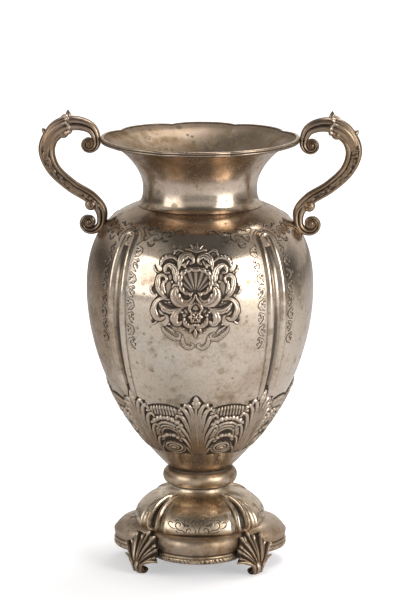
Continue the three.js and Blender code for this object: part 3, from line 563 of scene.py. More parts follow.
# Bowl shell: the profile turned, with the flutes pushed out of both sides of the sheet, and a plug below.
def makeBowl():
    rows, footLevel = bowl["rows"], bowl["fluteFootLevel"]
    lines = unevenLines(bowl["lines"], lambda f: 1 + 2.4 * bell(f, 44.5, 7.5, 4))
    section, normals = sheetOf(bowlProfile, rows, bowl["insideRows"])
    radius, level = section[:rows, :1], section[:rows, 1:]
    across, past, halfWidth = fluteAt(lines, radius, level)
    relief = hairpin(across, past, halfWidth, bowl["rib"], bowl["groove"])
    relief = relief * smoothStep(level, footLevel - 4, footLevel + 10)
    # Each row of the inside takes the relief of the outer row at its level.
    facing = np.interp(section[rows:, 1], level[:, 0], np.arange(rows)).round().astype(int)
    sheet = offSheet(lines, section, normals, np.vstack([relief, relief[facing]]))
    hole, out, base = bowl["floorHole"], bowl["plugRadius"], bowl["plugBase"]
    plug = [onTurn(lines, r, z) for r, z in ((hole, base), (out, base), (out, bowl["plugTop"]))]
    floor = [onTurn(lines, r, z) for r, z in
             ((out - wall, bowl["floorLevel"]), (out - wall, base + wall), (hole, base + wall))]
    points = np.concatenate([*plug, sheet[:-1], *floor])
    # Painted shade and reflection darken the grooves, more so near the flutes' tops on the upper bowl; oxide
    # lies in a line along the outer edge of the ribs.
    outline = np.hypot(across, np.maximum(past, 0)) / halfWidth
    gorge = np.clip(1 - (outline / 0.42) ** 2, 0, 1) * (relief < 0)
    paintedShadeAndOxideLine = 0.5 + 0.2 * np.minimum(relief, 0) * smoothStep(past, -40, -6) * (level > 300)
    paintedShadeAndOxideLine = paintedShadeAndOxideLine - gorge * blend(0.42, 0.26, smoothStep(level, 250, 300))
    paintedShadeAndOxideLine = paintedShadeAndOxideLine + 0.1 - 0.34 * bell(outline, 1.04, 0.075) * (level > footLevel + 2)
    hollow = np.full(points.shape[:2], 0.5)
    hollow[len(plug):len(plug) + rows] = np.minimum(hollowness(relief, 2.2, 2.8, wrap=True), paintedShadeAndOxideLine)
    makePiece("bowl_shell", [skin(points, hollow)], "bowl", ["bowl"], 50)


makeBowl()


# Skin of relief laid on the bowl: azimuth and length grids, height off the sheet, and a back that
# stays inside the wall.
def onBowl(azimuth, lengths, height, relief, wrap=False, backRows=7):
    front = offSheet(azimuth, *atLengths(bowlProfile, lengths), height)
    picked = np.linspace(len(lengths) - 1, 0, backRows).round().astype(int)
    behind = azimuth[picked] if len(azimuth) > 1 else azimuth
    back = offSheet(behind, *atLengths(bowlProfile, lengths[picked]), -bowl["reliefBack"])
    return plate(front, back, relief, wrap=wrap)


# Cartouche: shell, flower and scrolls on the front and back of the bowl.

cartouche = {
    "halfAcross": 47.0, "below": -46.0, "above": 66.0, "columns": 278, "rows": 332,
    "ground": 0.25, "dive": 0.7, "hand": 0.35, "shellHinge": (0, 14.5), "shellRibs": 9, "flower": (0.0, -8.3),
    # Each stroke: points, half-widths, height, hollow, lobes, ruffle, grooves, groove depth.
    "scrolls": {
        "big": ([(0.3, 14.5), (1.8, 9.5), (5.5, 5.4), (10.5, 4.4), (15.5, 6.4), (18.8, 10.6), (20, 15.6),
                (18.6, 20)], (0.5, 1, 1.6, 3, 5.2, 6, 5.2, 2.6), 3.3, 0, 5, 0.22, 1, 0.3),
        "bigCurl": ([(14.4, 20.6), (16.4, 23.2), (20.2, 23.4), (22.4, 20.6)], (0.7, 1.5, 1.6, 0.8), 3),
        "crescent": ([(14.6, 12.4), (12.5, 9), (9, 7.6), (5.8, 8.6), (3.8, 11.4)],
                     (0.8, 1.4, 1.5, 1.2, 0.5), 2, 0.3),
        "top": ([(16, 38), (15.4, 44), (12.4, 49.4), (7.6, 51.6), (3.4, 49.4), (2.6, 45.6), (4.8, 43.6)],
                (0.6, 2.4, 3.7, 3.9, 3, 2, 1.2), 3, 0, 4, 0.25, 1, 0.35),
        "topLeaf": ([(13.6, 42), (10.4, 42.6), (7.2, 46)], (0.8, 1.8, 0.9), 2.2, 0.1),
        "upperOuter": ([(18.2, 22), (18.6, 31), (20.6, 38), (25.4, 41.6), (29.6, 39), (29.4, 35),
                       (26.4, 34.6)], (0.8, 3.2, 4.2, 3.6, 2.4, 1.8, 1.2), 2.9, 0, -5, 0.3, 2, 0.35),
        "upperCap": ([(17.6, 46), (21.4, 49.4), (27.4, 49.8), (32.6, 46.4), (34.4, 41)],
                     (1, 1.9, 2.6, 2.4, 1.2), 2.2, 0, 6, 0.45),
        "midOuter": ([(28, 9.6), (33.6, 14.6), (37, 22.5), (36.2, 29.6), (31.8, 32), (28.4, 29),
                     (29.4, 25.4)], (0.7, 2.4, 3.2, 3, 2.3, 1.7, 1.1), 2.6, 0.2, 4, 0.2),
        "midLeaf": ([(31.4, 26), (32, 20.6), (29.6, 15)], (1.2, 2.1, 0.8), 2.1, 0, 3, 0.25),
        "sideRing": ([(26, 8.6), (33, 9.2), (38.8, 5.6), (41.4, -1.2), (39.4, -8), (34.8, -11), (31, -9.4)],
                     (0.8, 1.6, 2.3, 3, 3.4, 2.8, 1.4), 2.8, 0.25, 5, 0.18),
        "sideLeaf": ([(12.5, 0.8), (19, -1.4), (26, -2.4), (32, 0.6), (34.6, 4.2)],
                     (0.6, 2.2, 3.6, 3.9, 1.6), 2.9, 0, -4, 0.25, 1, 0.35),
        "lowerLeaf": ([(14.5, -1.4), (19.4, -4.6), (21, -9.6), (19.4, -14), (15.8, -15.4), (13.8, -12.6)],
                      (0.8, 3.2, 4.6, 4, 2.6, 1.2), 2.9, 0, 4, 0.25, 1, 0.35),
        "sepal": ([(0.8, 5.6), (4.6, 3), (6, -0.6), (4.4, -3.8)], (0.5, 1.5, 1.7, 0.7), 2.1, 0.1),
        "skirt": ([(1.5, -16), (5.4, -17), (9.6, -14.4), (11.4, -9.6)], (1.8, 2.6, 2.6, 1.2), 2.2, 0, 4,
                  0.4),
        "drop": ([(0, -20.5), (0, -25), (0, -29.5)], (0.9, 2.3, 0.5), 2.1),
        "dropSide": ([(1.6, -19), (4.4, -21), (5.4, -24)], (1.2, 1.7, 0.7), 1.7),
        "bottomFlat": ([(33.4, -17), (31, -22.4), (26, -27.2), (20.4, -30.4), (15.6, -29.4), (15.4, -25),
                       (19.4, -23.4)], (0.8, 1.9, 2.6, 2.7, 2, 1.4, 0.8), 1.1, 0.6, 8.5, 0.4),
        "bottomLeaf": ([(28.6, -18.4), (24.6, -20.8), (21, -24.6)], (0.8, 1.6, 0.8), 1.2, 0.2, 3, 0.3),
        "bottomCentre": ([(12.2, -27), (12.2, -33), (9.4, -38), (5, -39.6), (2.4, -36.6), (4.4, -34)],
                         (0.8, 2, 2.5, 2.3, 1.7, 0.9), 1.1, 0.6, 7.5, 0.4),
        "palmMiddle": ([(0, 55.6), (0, 60), (0, 64)], (1, 1.9, 0.7), 1.7, 0.2),
        "palmInner": ([(0.8, 55.6), (3.2, 59.4), (5.8, 61.8)], (0.8, 1.7, 0.8), 1.6, 0.2),
        "palmOuter": ([(1.2, 55.4), (5.6, 57.4), (9.6, 57.4)], (0.8, 1.6, 0.8), 1.4, 0.2),
        "sprig": ([(39.5, 12), (43, 15), (44.4, 19), (42, 21.6)], (0.6, 1.2, 1.2, 0.6), 0.8, 0.3, 3, 0.4),
        "sprigUp": ([(36.4, 34), (40, 36.4), (41.6, 40), (39.6, 42)], (0.6, 1.2, 1.2, 0.6), 0.8, 0.3, 3,
                    0.4),
        "sprigLow": ([(38.6, -13.4), (41.6, -16), (44, -15), (44.4, -11.6)], (0.6, 1.1, 1.1, 0.6), 0.7, 0.3,
                     3, 0.4),
        "topSprig": ([(12, 55), (16.4, 57.4), (20.4, 55.6), (21.4, 52.6)], (0.6, 1.2, 1.2, 0.6), 0.9, 0.3,
                     3, 0.4),
    },
    # Each bead: x, y, radius, height.
    "beads": [(4.9, 13.9, 1.9, 2.8), (11, -6.4, 1.9, 2.1), (13.2, -3.4, 1.5, 1.8), (11.8, -20, 1.4, 1.5),
              (8.6, -23.4, 1.3, 1.4), (10.4, 40.4, 1.4, 1.5), (26.2, -15.6, 1.3, 1.3), (23, 26, 1.5, 1.6),
              (25.6, 6, 1.2, 1.3)],
    "shellRim": [(3.4, 15.6), (8.6, 15.6), (12.4, 18.2), (14.6, 22.6), (15.2, 27.6), (14.2, 32),
                 (11.4, 35.4), (7.4, 37.4), (3, 38.2), (-1.4, 38.2)],
    "shellRimWidths": (1.4, 2.2, 2.6, 2.7, 2.7, 2.7, 2.7, 2.6, 2.6, 2.6),
}


# Shell: a hollow fan of ribs about its hinge, inside a thick rim with deep lobes.
def drawShell(sheet):
    hinge = cartouche["shellHinge"]
    dx, dy = sheet.x - hinge[0], sheet.y - hinge[1]
    inside = np.hypot(dx / 14.2, (sheet.y - 26.8) / 12) < 1
    fan = np.arctan2(dx, np.maximum(dy, 0.01))
    out = np.clip(np.hypot(dx, dy) / 24, 0, 1)
    rib = 0.5 + 0.5 * np.cos(2 * np.pi * cartouche["shellRibs"] * fan / 2.6)
    hollow = 0.1 + 0.55 * rib * smoothStep(out, 0.05, 0.4) + out ** 3
    sheet.height[inside] = hollow[inside]
    sheet.scroll(cartouche["shellRim"], cartouche["shellRimWidths"], 3.3, 0.0, 7.5, 0.42)
    return inside, rib


# Flower: a boss with seven lobes, a lower ring of seven waves in it, and a round eye.
def drawFlower(sheet):
    x, y = cartouche["flower"]
    sheet.boss(x, y, 7.4, 7.0, 2.6, lobes=7, depth=0.24)
    dx, dy = sheet.x - x, sheet.y - y
    ring = np.hypot(dx, dy) < 4.0
    sheet.height[ring] = np.minimum(sheet.height, 1.0 + 0.6 * np.cos(7 * np.arctan2(dy, dx)))[ring]
    sheet.boss(x, y, 2.0, 2.0, 3.0)


# The drawing is laid on the bowl's widest level. Its highest crests give way a little: less 0.062 * height^2.
def makeCartouche():
    c = cartouche
    across = np.linspace(-c["halfAcross"], c["halfAcross"], c["columns"])
    up = np.linspace(c["below"], c["above"], c["rows"])
    x, y = np.meshgrid(across, up)
    handX, handY = (c["hand"] * wander(x.shape, 22, seed) for seed in (11, 12))
    sheet = Drawing(np.abs(x + handX), y + handY)
    inShell, shellRib = drawShell(sheet)
    for stroke in c["scrolls"].values():
        sheet.scroll(*stroke)
    for beadX, beadY, radius, height in c["beads"]:
        sheet.boss(beadX, beadY, radius, radius, height)
    drawFlower(sheet)
    raised, spacing = sheet.height, across[1] - across[0]
    height = onGround(raised, spacing, c["ground"], c["dive"], 1.9)
    height = height + 0.05 * wander(x.shape, 1.2, 13) * (raised < 0.3)  # matted ground
    edge = fromEdge(x, y, c["halfAcross"], c["below"], c["above"])
    height = np.minimum(height, blend(-c["dive"], 4, smoothStep(edge, 0, 3)))
    hollow = hollowness(height, 1.7 / spacing, 2.0)
    close = smoothStep(blurred((raised > 0.25).astype(float), 1.6 / spacing), 0.1, 0.45)
    groundTone = blend(0.36, 0.14, close * smoothStep(y, -24, -14))
    hollow = np.where(raised < 0.25, np.minimum(hollow, groundTone), hollow)
    hollow = np.where(inShell & (raised < 1.5), np.minimum(hollow, 0.22 + 0.2 * shellRib), hollow)
    hollow = np.minimum(hollow, 0.5 - 0.3 * cutLine(raised, spacing, 0.4) * (y < -16))
    height = height - 0.062 * np.maximum(height, 0) ** 2
    lengths = bowlLength(bowl["widest"]) + up
    radius = atLengths(bowlProfile, lengths)[0][:, :1]
    front = onBowl(x / radius, lengths, height, hollow)
    makePiece("cartouche", [front], "chasing", ["bowl"])
    makePiece("cartouche_back", [turnedSkin(front, np.pi)], "chasing", ["bowl"])


makeCartouche()

# Leaf band round the foot of the bowl.

leafBand = {
    "units": 8, "columnsPerUnit": 84, "rows": 136, "from": 24.0, "to": 118.0, "coneSlope": 0.52, "apex": 68.4,
    "ground": 0.35, "dive": 0.8, "hand": 0.4, "volute": (0.8, 19.6),
    # Strokes of a leaf: across from its middle, and along the cone from the foot of the band.
    "leaf": {
        "stem": ([(0, 8), (0, 40), (0, 70), (0, 80)], (0.5, 0.9, 1.2, 1.5, 1.4), 2.6),
        "tip": ([(0, 72), (0, 80), (0, 88)], (2.2, 5, 1.6), 3.2, 0, 3.5, 0.25, 2, 0.4),
        "rib1": ([(1.2, 10), (1.9, 45), (3.2, 66), (6, 76), (9.6, 78.6), (11.2, 75)],
                 (0.5, 1.1, 1.3, 1.6, 2.7, 2.7, 1.4), 2.9, 0, 0, 0, 1, 0.35),
        "rib2": ([(2.2, 10), (3.8, 42), (6.4, 61), (10.4, 71), (14.6, 73.4), (16.6, 69.6)],
                 (0.5, 1, 1.3, 1.6, 2.7, 2.6, 1.3), 2.8, 0, 0, 0, 1, 0.35),
        "rib3": ([(3.2, 10), (5.8, 38), (9.6, 54), (14.2, 62.6), (18.4, 63.6), (20, 59.6)],
                 (0.5, 1, 1.2, 1.5, 2.4, 2.3, 1.2), 2.6, 0, 0, 0, 1, 0.35),
        "rib4": ([(4, 8), (7.2, 30), (11.4, 43), (15.6, 49.4), (18.6, 49), (19.2, 45.6)],
                 (0.5, 0.9, 1.1, 1.4, 2, 1.9, 1), 2.4, 0, 0, 0, 1, 0.35),
        "rib5": ([(4.6, 6), (8, 21), (11.8, 30.6), (14.8, 33.4), (16.4, 31)], (0.5, 0.8, 1, 1.4, 1.5, 0.8),
                 2.1),
        "rib6": ([(4.8, 4), (8, 13), (11, 18.6), (13.4, 18.6)], (0.4, 0.8, 1, 1.1, 0.6), 1.7),
    },
    # Strokes round a shell between two leaves: across from the shell's middle, and along.
    "between": {
        "upperRuffle": ([(-1, 60.5), (5, 60.2), (11, 56.6), (16, 50), (18.6, 42)], (3, 3.2, 3.2, 3, 1.8),
                        2.8, 0, 6.5, 0.45),
        "arch1": ([(-1, 54.6), (5, 53.6), (10, 49), (13, 41.6), (13.6, 31)], (1.6, 1.6, 1.6, 1.4, 0.8), 2.1,
                  0.1),
        "arch2": ([(-1, 50.8), (4, 50), (8.4, 46), (11, 39.6), (11.4, 30)], (1.3, 1.3, 1.3, 1.2, 0.7), 1.8,
                  0.1),
        "arch3": ([(-1, 47.2), (3.4, 46.4), (7, 42.6), (9, 35.4)], (1.2, 1.2, 1.1, 0.6), 1.5, 0.1),
        "lowerRuffle": ([(-1, 37.6), (3.6, 37.2), (7.4, 34.2), (9.6, 28.6)], (2.5, 2.6, 2.4, 1.4), 2.4, 0,
                        3.5, 0.45),
        "sideBud": ([(16.4, 72), (17.4, 65), (15.6, 59)], (1.4, 2.6, 1.2), 2.2, 0, 2.5, 0.3, 1, 0.4),
        "sideLeaf": ([(15.4, 28), (16.4, 36), (14.6, 42)], (0.8, 1.9, 0.9), 1.9, 0, 2.5, 0.3, 1, 0.4),
    },
}


# The foot of the bowl is flattened as a cone, and each eighth of a turn holds half a leaf, a shell and half
# a leaf. Leaves lie over what is between them.
def makeLeafBand():
    c = leafBand
    columns = c["columnsPerUnit"] * c["units"]
    azimuth = around(columns)
    lengths = np.linspace(c["from"], c["to"], c["rows"])
    step = 2 * np.pi / c["units"]
    fromLeaf = (azimuth + step / 2) % step - step / 2
    fromShell = azimuth % step - step / 2
    along = (lengths + c["apex"])[:, None]
    hand, handUp = (c["hand"] * wander((c["rows"], columns), 9, seed, wrap=True) for seed in (21, 22))

    def flat(angle):
        turn = angle[None, :] * c["coneSlope"]
        return np.abs(along * np.sin(turn) + hand), along * np.cos(turn) - c["apex"] - c["from"] + handUp

    leaf, shell = Drawing(*flat(fromLeaf)), Drawing(*flat(fromShell))
    for drawing, strokes in ((leaf, c["leaf"]), (shell, c["between"])):
        for stroke in strokes.values():
            drawing.scroll(*stroke)
    x, y = shell.x, shell.y
    # Shell: short dark flutes under a row of small lobes.
    wave = 0.5 + 0.5 * np.cos(2 * np.pi * x / 3.1)
    top = 75.2 + 1.5 * wave - 0.018 * x ** 2
    flutes = np.where((y > 62) & (y < top) & (x < 19), 0.25 + 1.5 * wave * smoothStep(y, 62, 66), 0)
    lobes = np.sqrt(np.clip(1 - ((y - top + 2.2) / 2.4) ** 2, 0, 1)) * (x < 19) * (0.8 + 1.6 * wave)
    # Volute: a spiral of raised line.
    vx, vy = x - c["volute"][0], y - c["volute"][1]
    angle, out = np.arctan2(vy, vx), np.hypot(vx / 1.15, vy)
    turns = np.cos(2 * np.pi * (out / 3.0 - angle / (2 * np.pi)))
    volute = np.where(out < 9.0, 0.9 + 0.9 * turns, 0) * smoothStep(out, 9.4, 8.4)
    eye = 2.2 * np.sqrt(np.clip(1 - (out / 1.9) ** 2, 0, 1))
    # Ground: low rings round the volute.
    rings = 0.5 + 0.5 * np.cos(2 * np.pi * np.hypot(x / 0.8, vy) / 4.2)
    ribbed = 0.5 * rings * (y < 60)
    between = np.maximum.reduce([shell.height, flutes, lobes, volute, eye])
    under = smoothStep(blurred((leaf.height > 0.4).astype(float), 1.4, wrap=True), 0.05, 0.3)
    raised = np.where(leaf.height > 0.12, leaf.height, between * (1 - under))
    outline = 78.5 - 0.018 * x ** 2 * (x < 19) + 8.0 * smoothStep(leaf.x, 9, 1.5)
    inside = smoothStep(outline - y, -0.6, 0.8) * smoothStep(y, 1.5 + 0.25 * leaf.x, 7 + 0.25 * leaf.x)
    fade = smoothStep(y, 2, 26)
    height = blend(-c["dive"], np.maximum(raised, c["ground"] + ribbed) * blend(0.45, 1, fade), inside)
    ridge = bell(outline - y, 0.2, 0.9) * 0.9
    height = np.maximum(height, blend(-c["dive"], 0.2 + ridge, smoothStep(outline - y, -1.8, -0.4) * inside))
    spacing = (c["to"] - c["from"]) / c["rows"]
    hollow = hollowness(height, 1.5 / spacing, 1.8, wrap=True)
    hollow = np.where(raised < 0.3, np.minimum(hollow, 0.14 + 0.3 * ribbed), hollow)
    band = onBowl(azimuth[None, :], lengths, height, hollow, wrap=True, backRows=5)
    makePiece("leaf_band", [band], "chasing", ["bowl"])


makeLeafBand()
print("bowl chased")

# Chased bands beside the flutes.

chasedBand = {"width": 11.0, "gap": 1.2, "columns": 32, "from": 236.0, "to": 346.0, "rows": 320, "unit": 13.0,
              "ground": 0.06, "dive": 0.45}


# Chain of C scrolls that change sides, drawn low with a cut outline.
def makeChasedBands():
    c = chasedBand
    halfAcross = c["width"] / 2
    lengths = np.linspace(bowlLength(c["from"]), bowlLength(c["to"]), c["rows"])
    place, _ = atLengths(bowlProfile, lengths)
    radius, level = place[:, :1], place[:, 1:]
    across = np.linspace(-halfAcross, halfAcross, c["columns"])
    skins = []
    for flute in range(4):
        for side in (-1, 1):
            seed = 31 + 2 * flute + (side > 0)
            x, y = np.meshgrid(across, lengths - lengths[0])
            x = x + 0.25 * wander(x.shape, 14, seed)
            y = y + 0.5 * wander(x.shape, 14, seed + 20)
            sheet = Drawing(side * x, y)
            for unit in range(int(y.max() // c["unit"])):
                base, flip = unit * c["unit"] + 2, 1 if unit % 2 else -1
                sheet.scroll([(-2.6 * flip, base), (1.4 * flip, base + 2.2), (3.0 * flip, base + 6),
                              (1.0 * flip, base + 9), (-1.2 * flip, base + 7.6), (-0.6 * flip, base + 5.6)],
                             (0.6, 1.5, 1.9, 1.5, 1.2, 0.7), 0.8, 0.4, 4.5, 0.3)
                sheet.scroll([(0.6 * flip, base + 9.4), (-2.4 * flip, base + 10.6),
                              (-3.8 * flip, base + 8.6)], (0.6, 1.3, 0.8), 0.7, 0.4, 3.5, 0.4)
                sheet.boss(-3.4 * flip, base + 4.4, 1.2, 1.7, 0.7)
            raised = sheet.height
            height = onGround(raised, 0.35, c["ground"], c["dive"], 0.6)
            ends = fromEdge(x, y, halfAcross, 0, y.max())
            height = np.minimum(height, blend(-c["dive"], 1, smoothStep(ends, 0, 1.2)))
            hollow = np.minimum(hollowness(height, 2.4, 1.2), 0.5 - 0.5 * cutLine(raised, 0.35, 0.55))
            beside = side * (bowl["fluteHalfWidth"] + c["gap"] + halfAcross) / radius
            middle = np.radians(fluteMiddle(level)) + beside
            middle = [middle, np.pi - middle, np.pi + middle, 2 * np.pi - middle][flute]
            way = 1 if flute % 2 == 0 else -1
            azimuth = middle + across[None, :] / radius
            skins.append(onBowl(azimuth, lengths, height[:, ::way], hollow[:, ::way], backRows=9))
    makePiece("chased_bands", skins, "chasing", ["bowl"])


makeChasedBands()

# Chasing on the shoulder, over the tops of the flutes and round to the cartouche's palm.
shoulder = {
    "from": 337.0, "to": 360.0, "columns": 1000, "rows": 48, "ground": 0.05, "dive": 0.45, "hand": 0.35,
    # Points (across from the flute's middle, along from the sheet's lower edge), then half-widths.
    "scrolls": [
        ([(13.5, 1), (15.6, 8), (12.4, 15.4), (5.6, 19.6), (1.2, 17.6), (2.2, 14.4)],
         (0.8, 1.8, 2.3, 2.1, 1.4, 0.8)),
        ([(14.6, 12.6), (19, 15), (21.6, 11.4), (19.6, 7.6), (17.2, 8.6)], (0.7, 1.6, 1.8, 1.3, 0.7)),
        ([(7.6, 20.6), (11.4, 24), (15.6, 22.4), (16, 19)], (0.7, 1.5, 1.4, 0.7)),
        ([(22, 12), (27, 17.4), (33, 15.6), (33.8, 10.4), (30.2, 8.6), (28.8, 11.4)],
         (0.6, 1.7, 2, 1.8, 1.3, 0.7)),
        ([(33.4, 17), (38.4, 21.4), (43.8, 19.2), (43.6, 14.6), (40.4, 13.8)], (0.6, 1.6, 1.9, 1.4, 0.7)),
        ([(24, 6), (26.6, 2.4), (31, 2.8), (31.8, 6)], (0.6, 1.3, 1.3, 0.6)),
        ([(36.6, 12), (40, 8.4), (44.6, 9.4)], (0.6, 1.3, 0.6)),
        ([(45.4, 19), (50.4, 23), (55.4, 21), (55, 17)], (0.6, 1.4, 1.5, 0.7)),
        ([(18, 20), (22.4, 23.6), (26.8, 22.4)], (0.6, 1.3, 0.6)),
    ],
}


# Strokes all round, by distance from the nearest flute. The sheet follows the flutes that it crosses.
def makeShoulderChasing():
    c = shoulder
    azimuth = around(c["columns"])[None, :]
    lengths = np.linspace(bowlLength(c["from"]), bowlLength(c["to"]), c["rows"])
    place, _ = atLengths(bowlProfile, lengths)
    fluteAcross, past, halfWidth = fluteAt(azimuth, place[:, :1], place[:, 1:])
    y = (lengths - lengths[0])[:, None] + np.zeros_like(azimuth)
    hand, handUp = (c["hand"] * wander(y.shape, 10, seed, wrap=True) for seed in (51, 52))
    sheet = Drawing(np.abs(fluteAcross + hand), y + handUp)
    for points, widths in c["scrolls"]:
        sheet.scroll(points, widths, 0.6, 0.4, 4.5, 0.3)
    height = onGround(sheet.height, 0.55, c["ground"], c["dive"], 0.7, wrap=True)
    ends = np.minimum(y, y.max() - y)
    height = np.minimum(height, blend(-c["dive"], 1, smoothStep(ends, 0, 1.5)))
    line = cutLine(sheet.height, 0.55, 0.65)
    follow = hairpin(fluteAcross, past, halfWidth, bowl["rib"], bowl["groove"])
    band = onBowl(azimuth, lengths, height + follow, 0.52 - 0.5 * line, wrap=True, backRows=9)
    makePiece("shoulder_chasing", [band], "chasing", ["bowl"])


makeShoulderChasing()

# Neck and rim.

neck = {"lines": 384, "rows": 100, "insideRows": 60, "notches": (20, 60), "notchDepth": 3.5, "notchDrop": 1.0,
        "skirtRadius": 60.9, "skirtBase": 361.2, "base": 365.7, "lip": 430.3, "throat": 56.8, "mouth": 96.5}
neckProfile = chain((62.4, neck["base"]), [(58, 369.6), (neck["throat"], 372.7), (neck["throat"], 383)],
                    [(neck["throat"], 401.2), (76.64, 423.46), (neck["mouth"], neck["lip"])])


# Row of azimuths, closer together at the notches.
def lipLines(count):
    first, second = neck["notches"]
    return unevenLines(count, lambda f: 1 + 1.5 * bell(f, first, 3) + 1.5 * bell(f, second, 3))


# Bracket scallops: the cube of the distance from a lobe's middle, 1 at its notches, draws the lip in and
# down.
def scalloped(azimuth, profile):
    f = folded(azimuth)
    first, second = neck["notches"]
    middle, half = (first + second) / 2, (second - first) / 2
    fromMiddle = np.where(f <= second, np.abs(f - middle) / half, (90 - f) / (90 - second))
    fromMiddle = np.where(f <= first, f / first, fromMiddle)
    out = np.clip((profile[:, :1] - neck["throat"]) / (neck["mouth"] - neck["throat"]), 0, 1.05)
    cut = fromMiddle ** 3 * out ** 2
    draw, drop = neck["notchDepth"] * cut, neck["notchDrop"] * cut
    return onTurn(azimuth, profile[:, :1] - draw, profile[:, 1:] - drop)


# Neck: a flared sheet with a skirt below that stands in the bowl's mouth. Its inside has the mouth's finish.
def makeNeck():
    outer, base = neck["skirtRadius"], neck["base"]
    skirt = [(outer - wall, base + 1), (outer - wall, neck["skirtBase"]), (outer, neck["skirtBase"]),
             (outer, base - 0.1)]
    profile = np.vstack([skirt, sheetOf(neckProfile, neck["rows"], neck["insideRows"])[0]])
    points = scalloped(lipLines(neck["lines"]), profile)
    # A band just under the lip, inside and out, is darkened: painted shade below the rim wire.
    paintedShadeUnderLip = smoothStep(profile[:, 1:], 425.5, 429.5) * (profile[:, :1] > 70)
    insideFrom = (len(skirt) + neck["rows"]) * neck["lines"]
    insideTo = insideFrom + neck["insideRows"] * neck["lines"]
    makePiece("neck_flare", [skin(points, 0.5 - 0.17 * paintedShadeUnderLip, wrapRows=True)], "neck", ["neck"],
              40, "mouth", (insideFrom, insideTo))


# Reeded wire: a round lower bead and a thinner upper one, with a groove between.
def makeRim():
    section = throughPoints([(97.0, 428.0), (98.2, 427.8), (99.0, 429.2), (98.45, 430.3), (99.0, 431.5),
                             (98.3, 432.7), (96.6, 432.8), (95.5, 432.55)], 4)
    section = np.vstack([section, [(95.5, 432.1), (96.9, 432.1)]])
    radius, level = section[:, :1], section[:, 1:]
    groove = bell(level, neck["lip"], 0.5) * (radius > 98)
    relief = 0.5 - 0.45 * groove - 0.25 * smoothStep(level, 429.2, 428.2)
    makePiece("rim_wire", [skin(scalloped(lipLines(400), section), relief, wrapRows=True)], "rim",
              ["rim_moulding"], 50)


makeNeck()
makeRim()
print("neck made")

# Knop, dome, border and wire of the foot.

foot = {
    "lobeCentre": 37.0, "baseRadius": 83.7, "ledgeInner": 52.0, "ledge": 76.0, "ledgeLevel": 41.0,
    "sideReach": 0.034, "sideRise": 4.0, "sideEdgeDrop": 4.5,
    "domeRows": 110, "domeInsideRows": 14, "domeFoot": 70.0, "stemRadius": 30.0, "domeSideDraw": 4.0,
    "hairpinHalfWidth": 10.4, "hairpinRib": 2.8, "hairpinGroove": 3.6, "hairpinEnd": 47.5, "valley": 5.0,
}


# Plan of the base: four round lobes. The share of the greatest radius at an angle from the nearest axis.
def lobeShare(azimuth):
    angle = np.radians(45 - np.abs(45 - folded(azimuth)))
    half = foot["lobeCentre"] * np.sin(angle)
    lobe = foot["baseRadius"] - foot["lobeCentre"]
    return (foot["lobeCentre"] * np.cos(angle) + np.sqrt(lobe ** 2 - half ** 2)) / foot["baseRadius"]


# Profile turned on the lobed plan, which comes in along the ledge. The side lobes reach out a little more.
def lobed(azimuth, profile):
    share = smoothStep(profile[:, :1], foot["ledgeInner"], foot["ledge"])
    reach = 1 + foot["sideReach"] * np.abs(np.sin(azimuth)) ** 8
    return onTurn(azimuth, profile[:, :1] * blend(1, reach * lobeShare(azimuth), share), profile[:, 1:])


# Knop: a round hollow ring between two short necks.
def makeKnop():
    profile = chain((30, 78.7), [(30, 79.2), (30, 79.8), (30, 80.3)],
                    [(39.6, 80.3), (39.6, 95.7), (31, 95.7)], [(31, 96.2), (31, 96.8), (31, 97.3)])
    section, _ = sheetOf(profile, 44, 8)
    relief = 0.5 - 0.3 * bell(section[:, 1:], 79.6, 1.2) - 0.3 * bell(section[:, 1:], 96.6, 1.2)
    points = onTurn(around(240)[None, :], section[:, :1], section[:, 1:])
    makePiece("knop", [skin(points, relief, wrapRows=True)], "foot", ["knop_ring"], 50)


domeEdge, domeBase = foot["domeFoot"], foot["ledgeLevel"]
domeProfile = chain((domeEdge - 2.6, domeBase - 0.4),
                    [(domeEdge - 0.8, domeBase - 0.2), (domeEdge, 42.4), (domeEdge, 44.6)],
                    [(domeEdge, 53.6), (63.4, 61.8), (51.5, 66.6)],
                    [(43.5, 70.0), (30.4, 70.6), (foot["stemRadius"], 78.4)])


# Relief of the dome: a valley down each diagonal with a hairpin in it, and a crease along each side of that.
def domeRelief(azimuth, radius, level):
    out = np.clip((radius - foot["stemRadius"]) / (foot["domeFoot"] - foot["stemRadius"]), 0, 1)
    across = np.radians(folded(azimuth) - 45) * radius
    halfWidth = foot["hairpinHalfWidth"] * blend(0.3, 1, out)
    valley = foot["valley"] * out ** 1.5 * bell(across, 0, 1.5 * halfWidth, 6)
    groove = foot["hairpinGroove"] * np.minimum(1, 2 * out)
    lift = hairpin(across, foot["hairpinEnd"] - level, halfWidth, foot["hairpinRib"], groove, 0.46)
    away = np.abs(across) / halfWidth
    crease = -1.1 * bell(away, 1.12, 0.1) - 0.9 * bell(away, 1.62, 0.1)
    return (lift + crease * smoothStep(out, 0.25, 0.6)) * smoothStep(out, 0.02, 0.3), valley


# The dome draws in at its two side lobes, by |sin azimuth|^6 near its foot.
def sideDraw(azimuth, radius):
    return foot["domeSideDraw"] * np.abs(np.sin(azimuth)) ** 6 * smoothStep(radius, 44, 62)


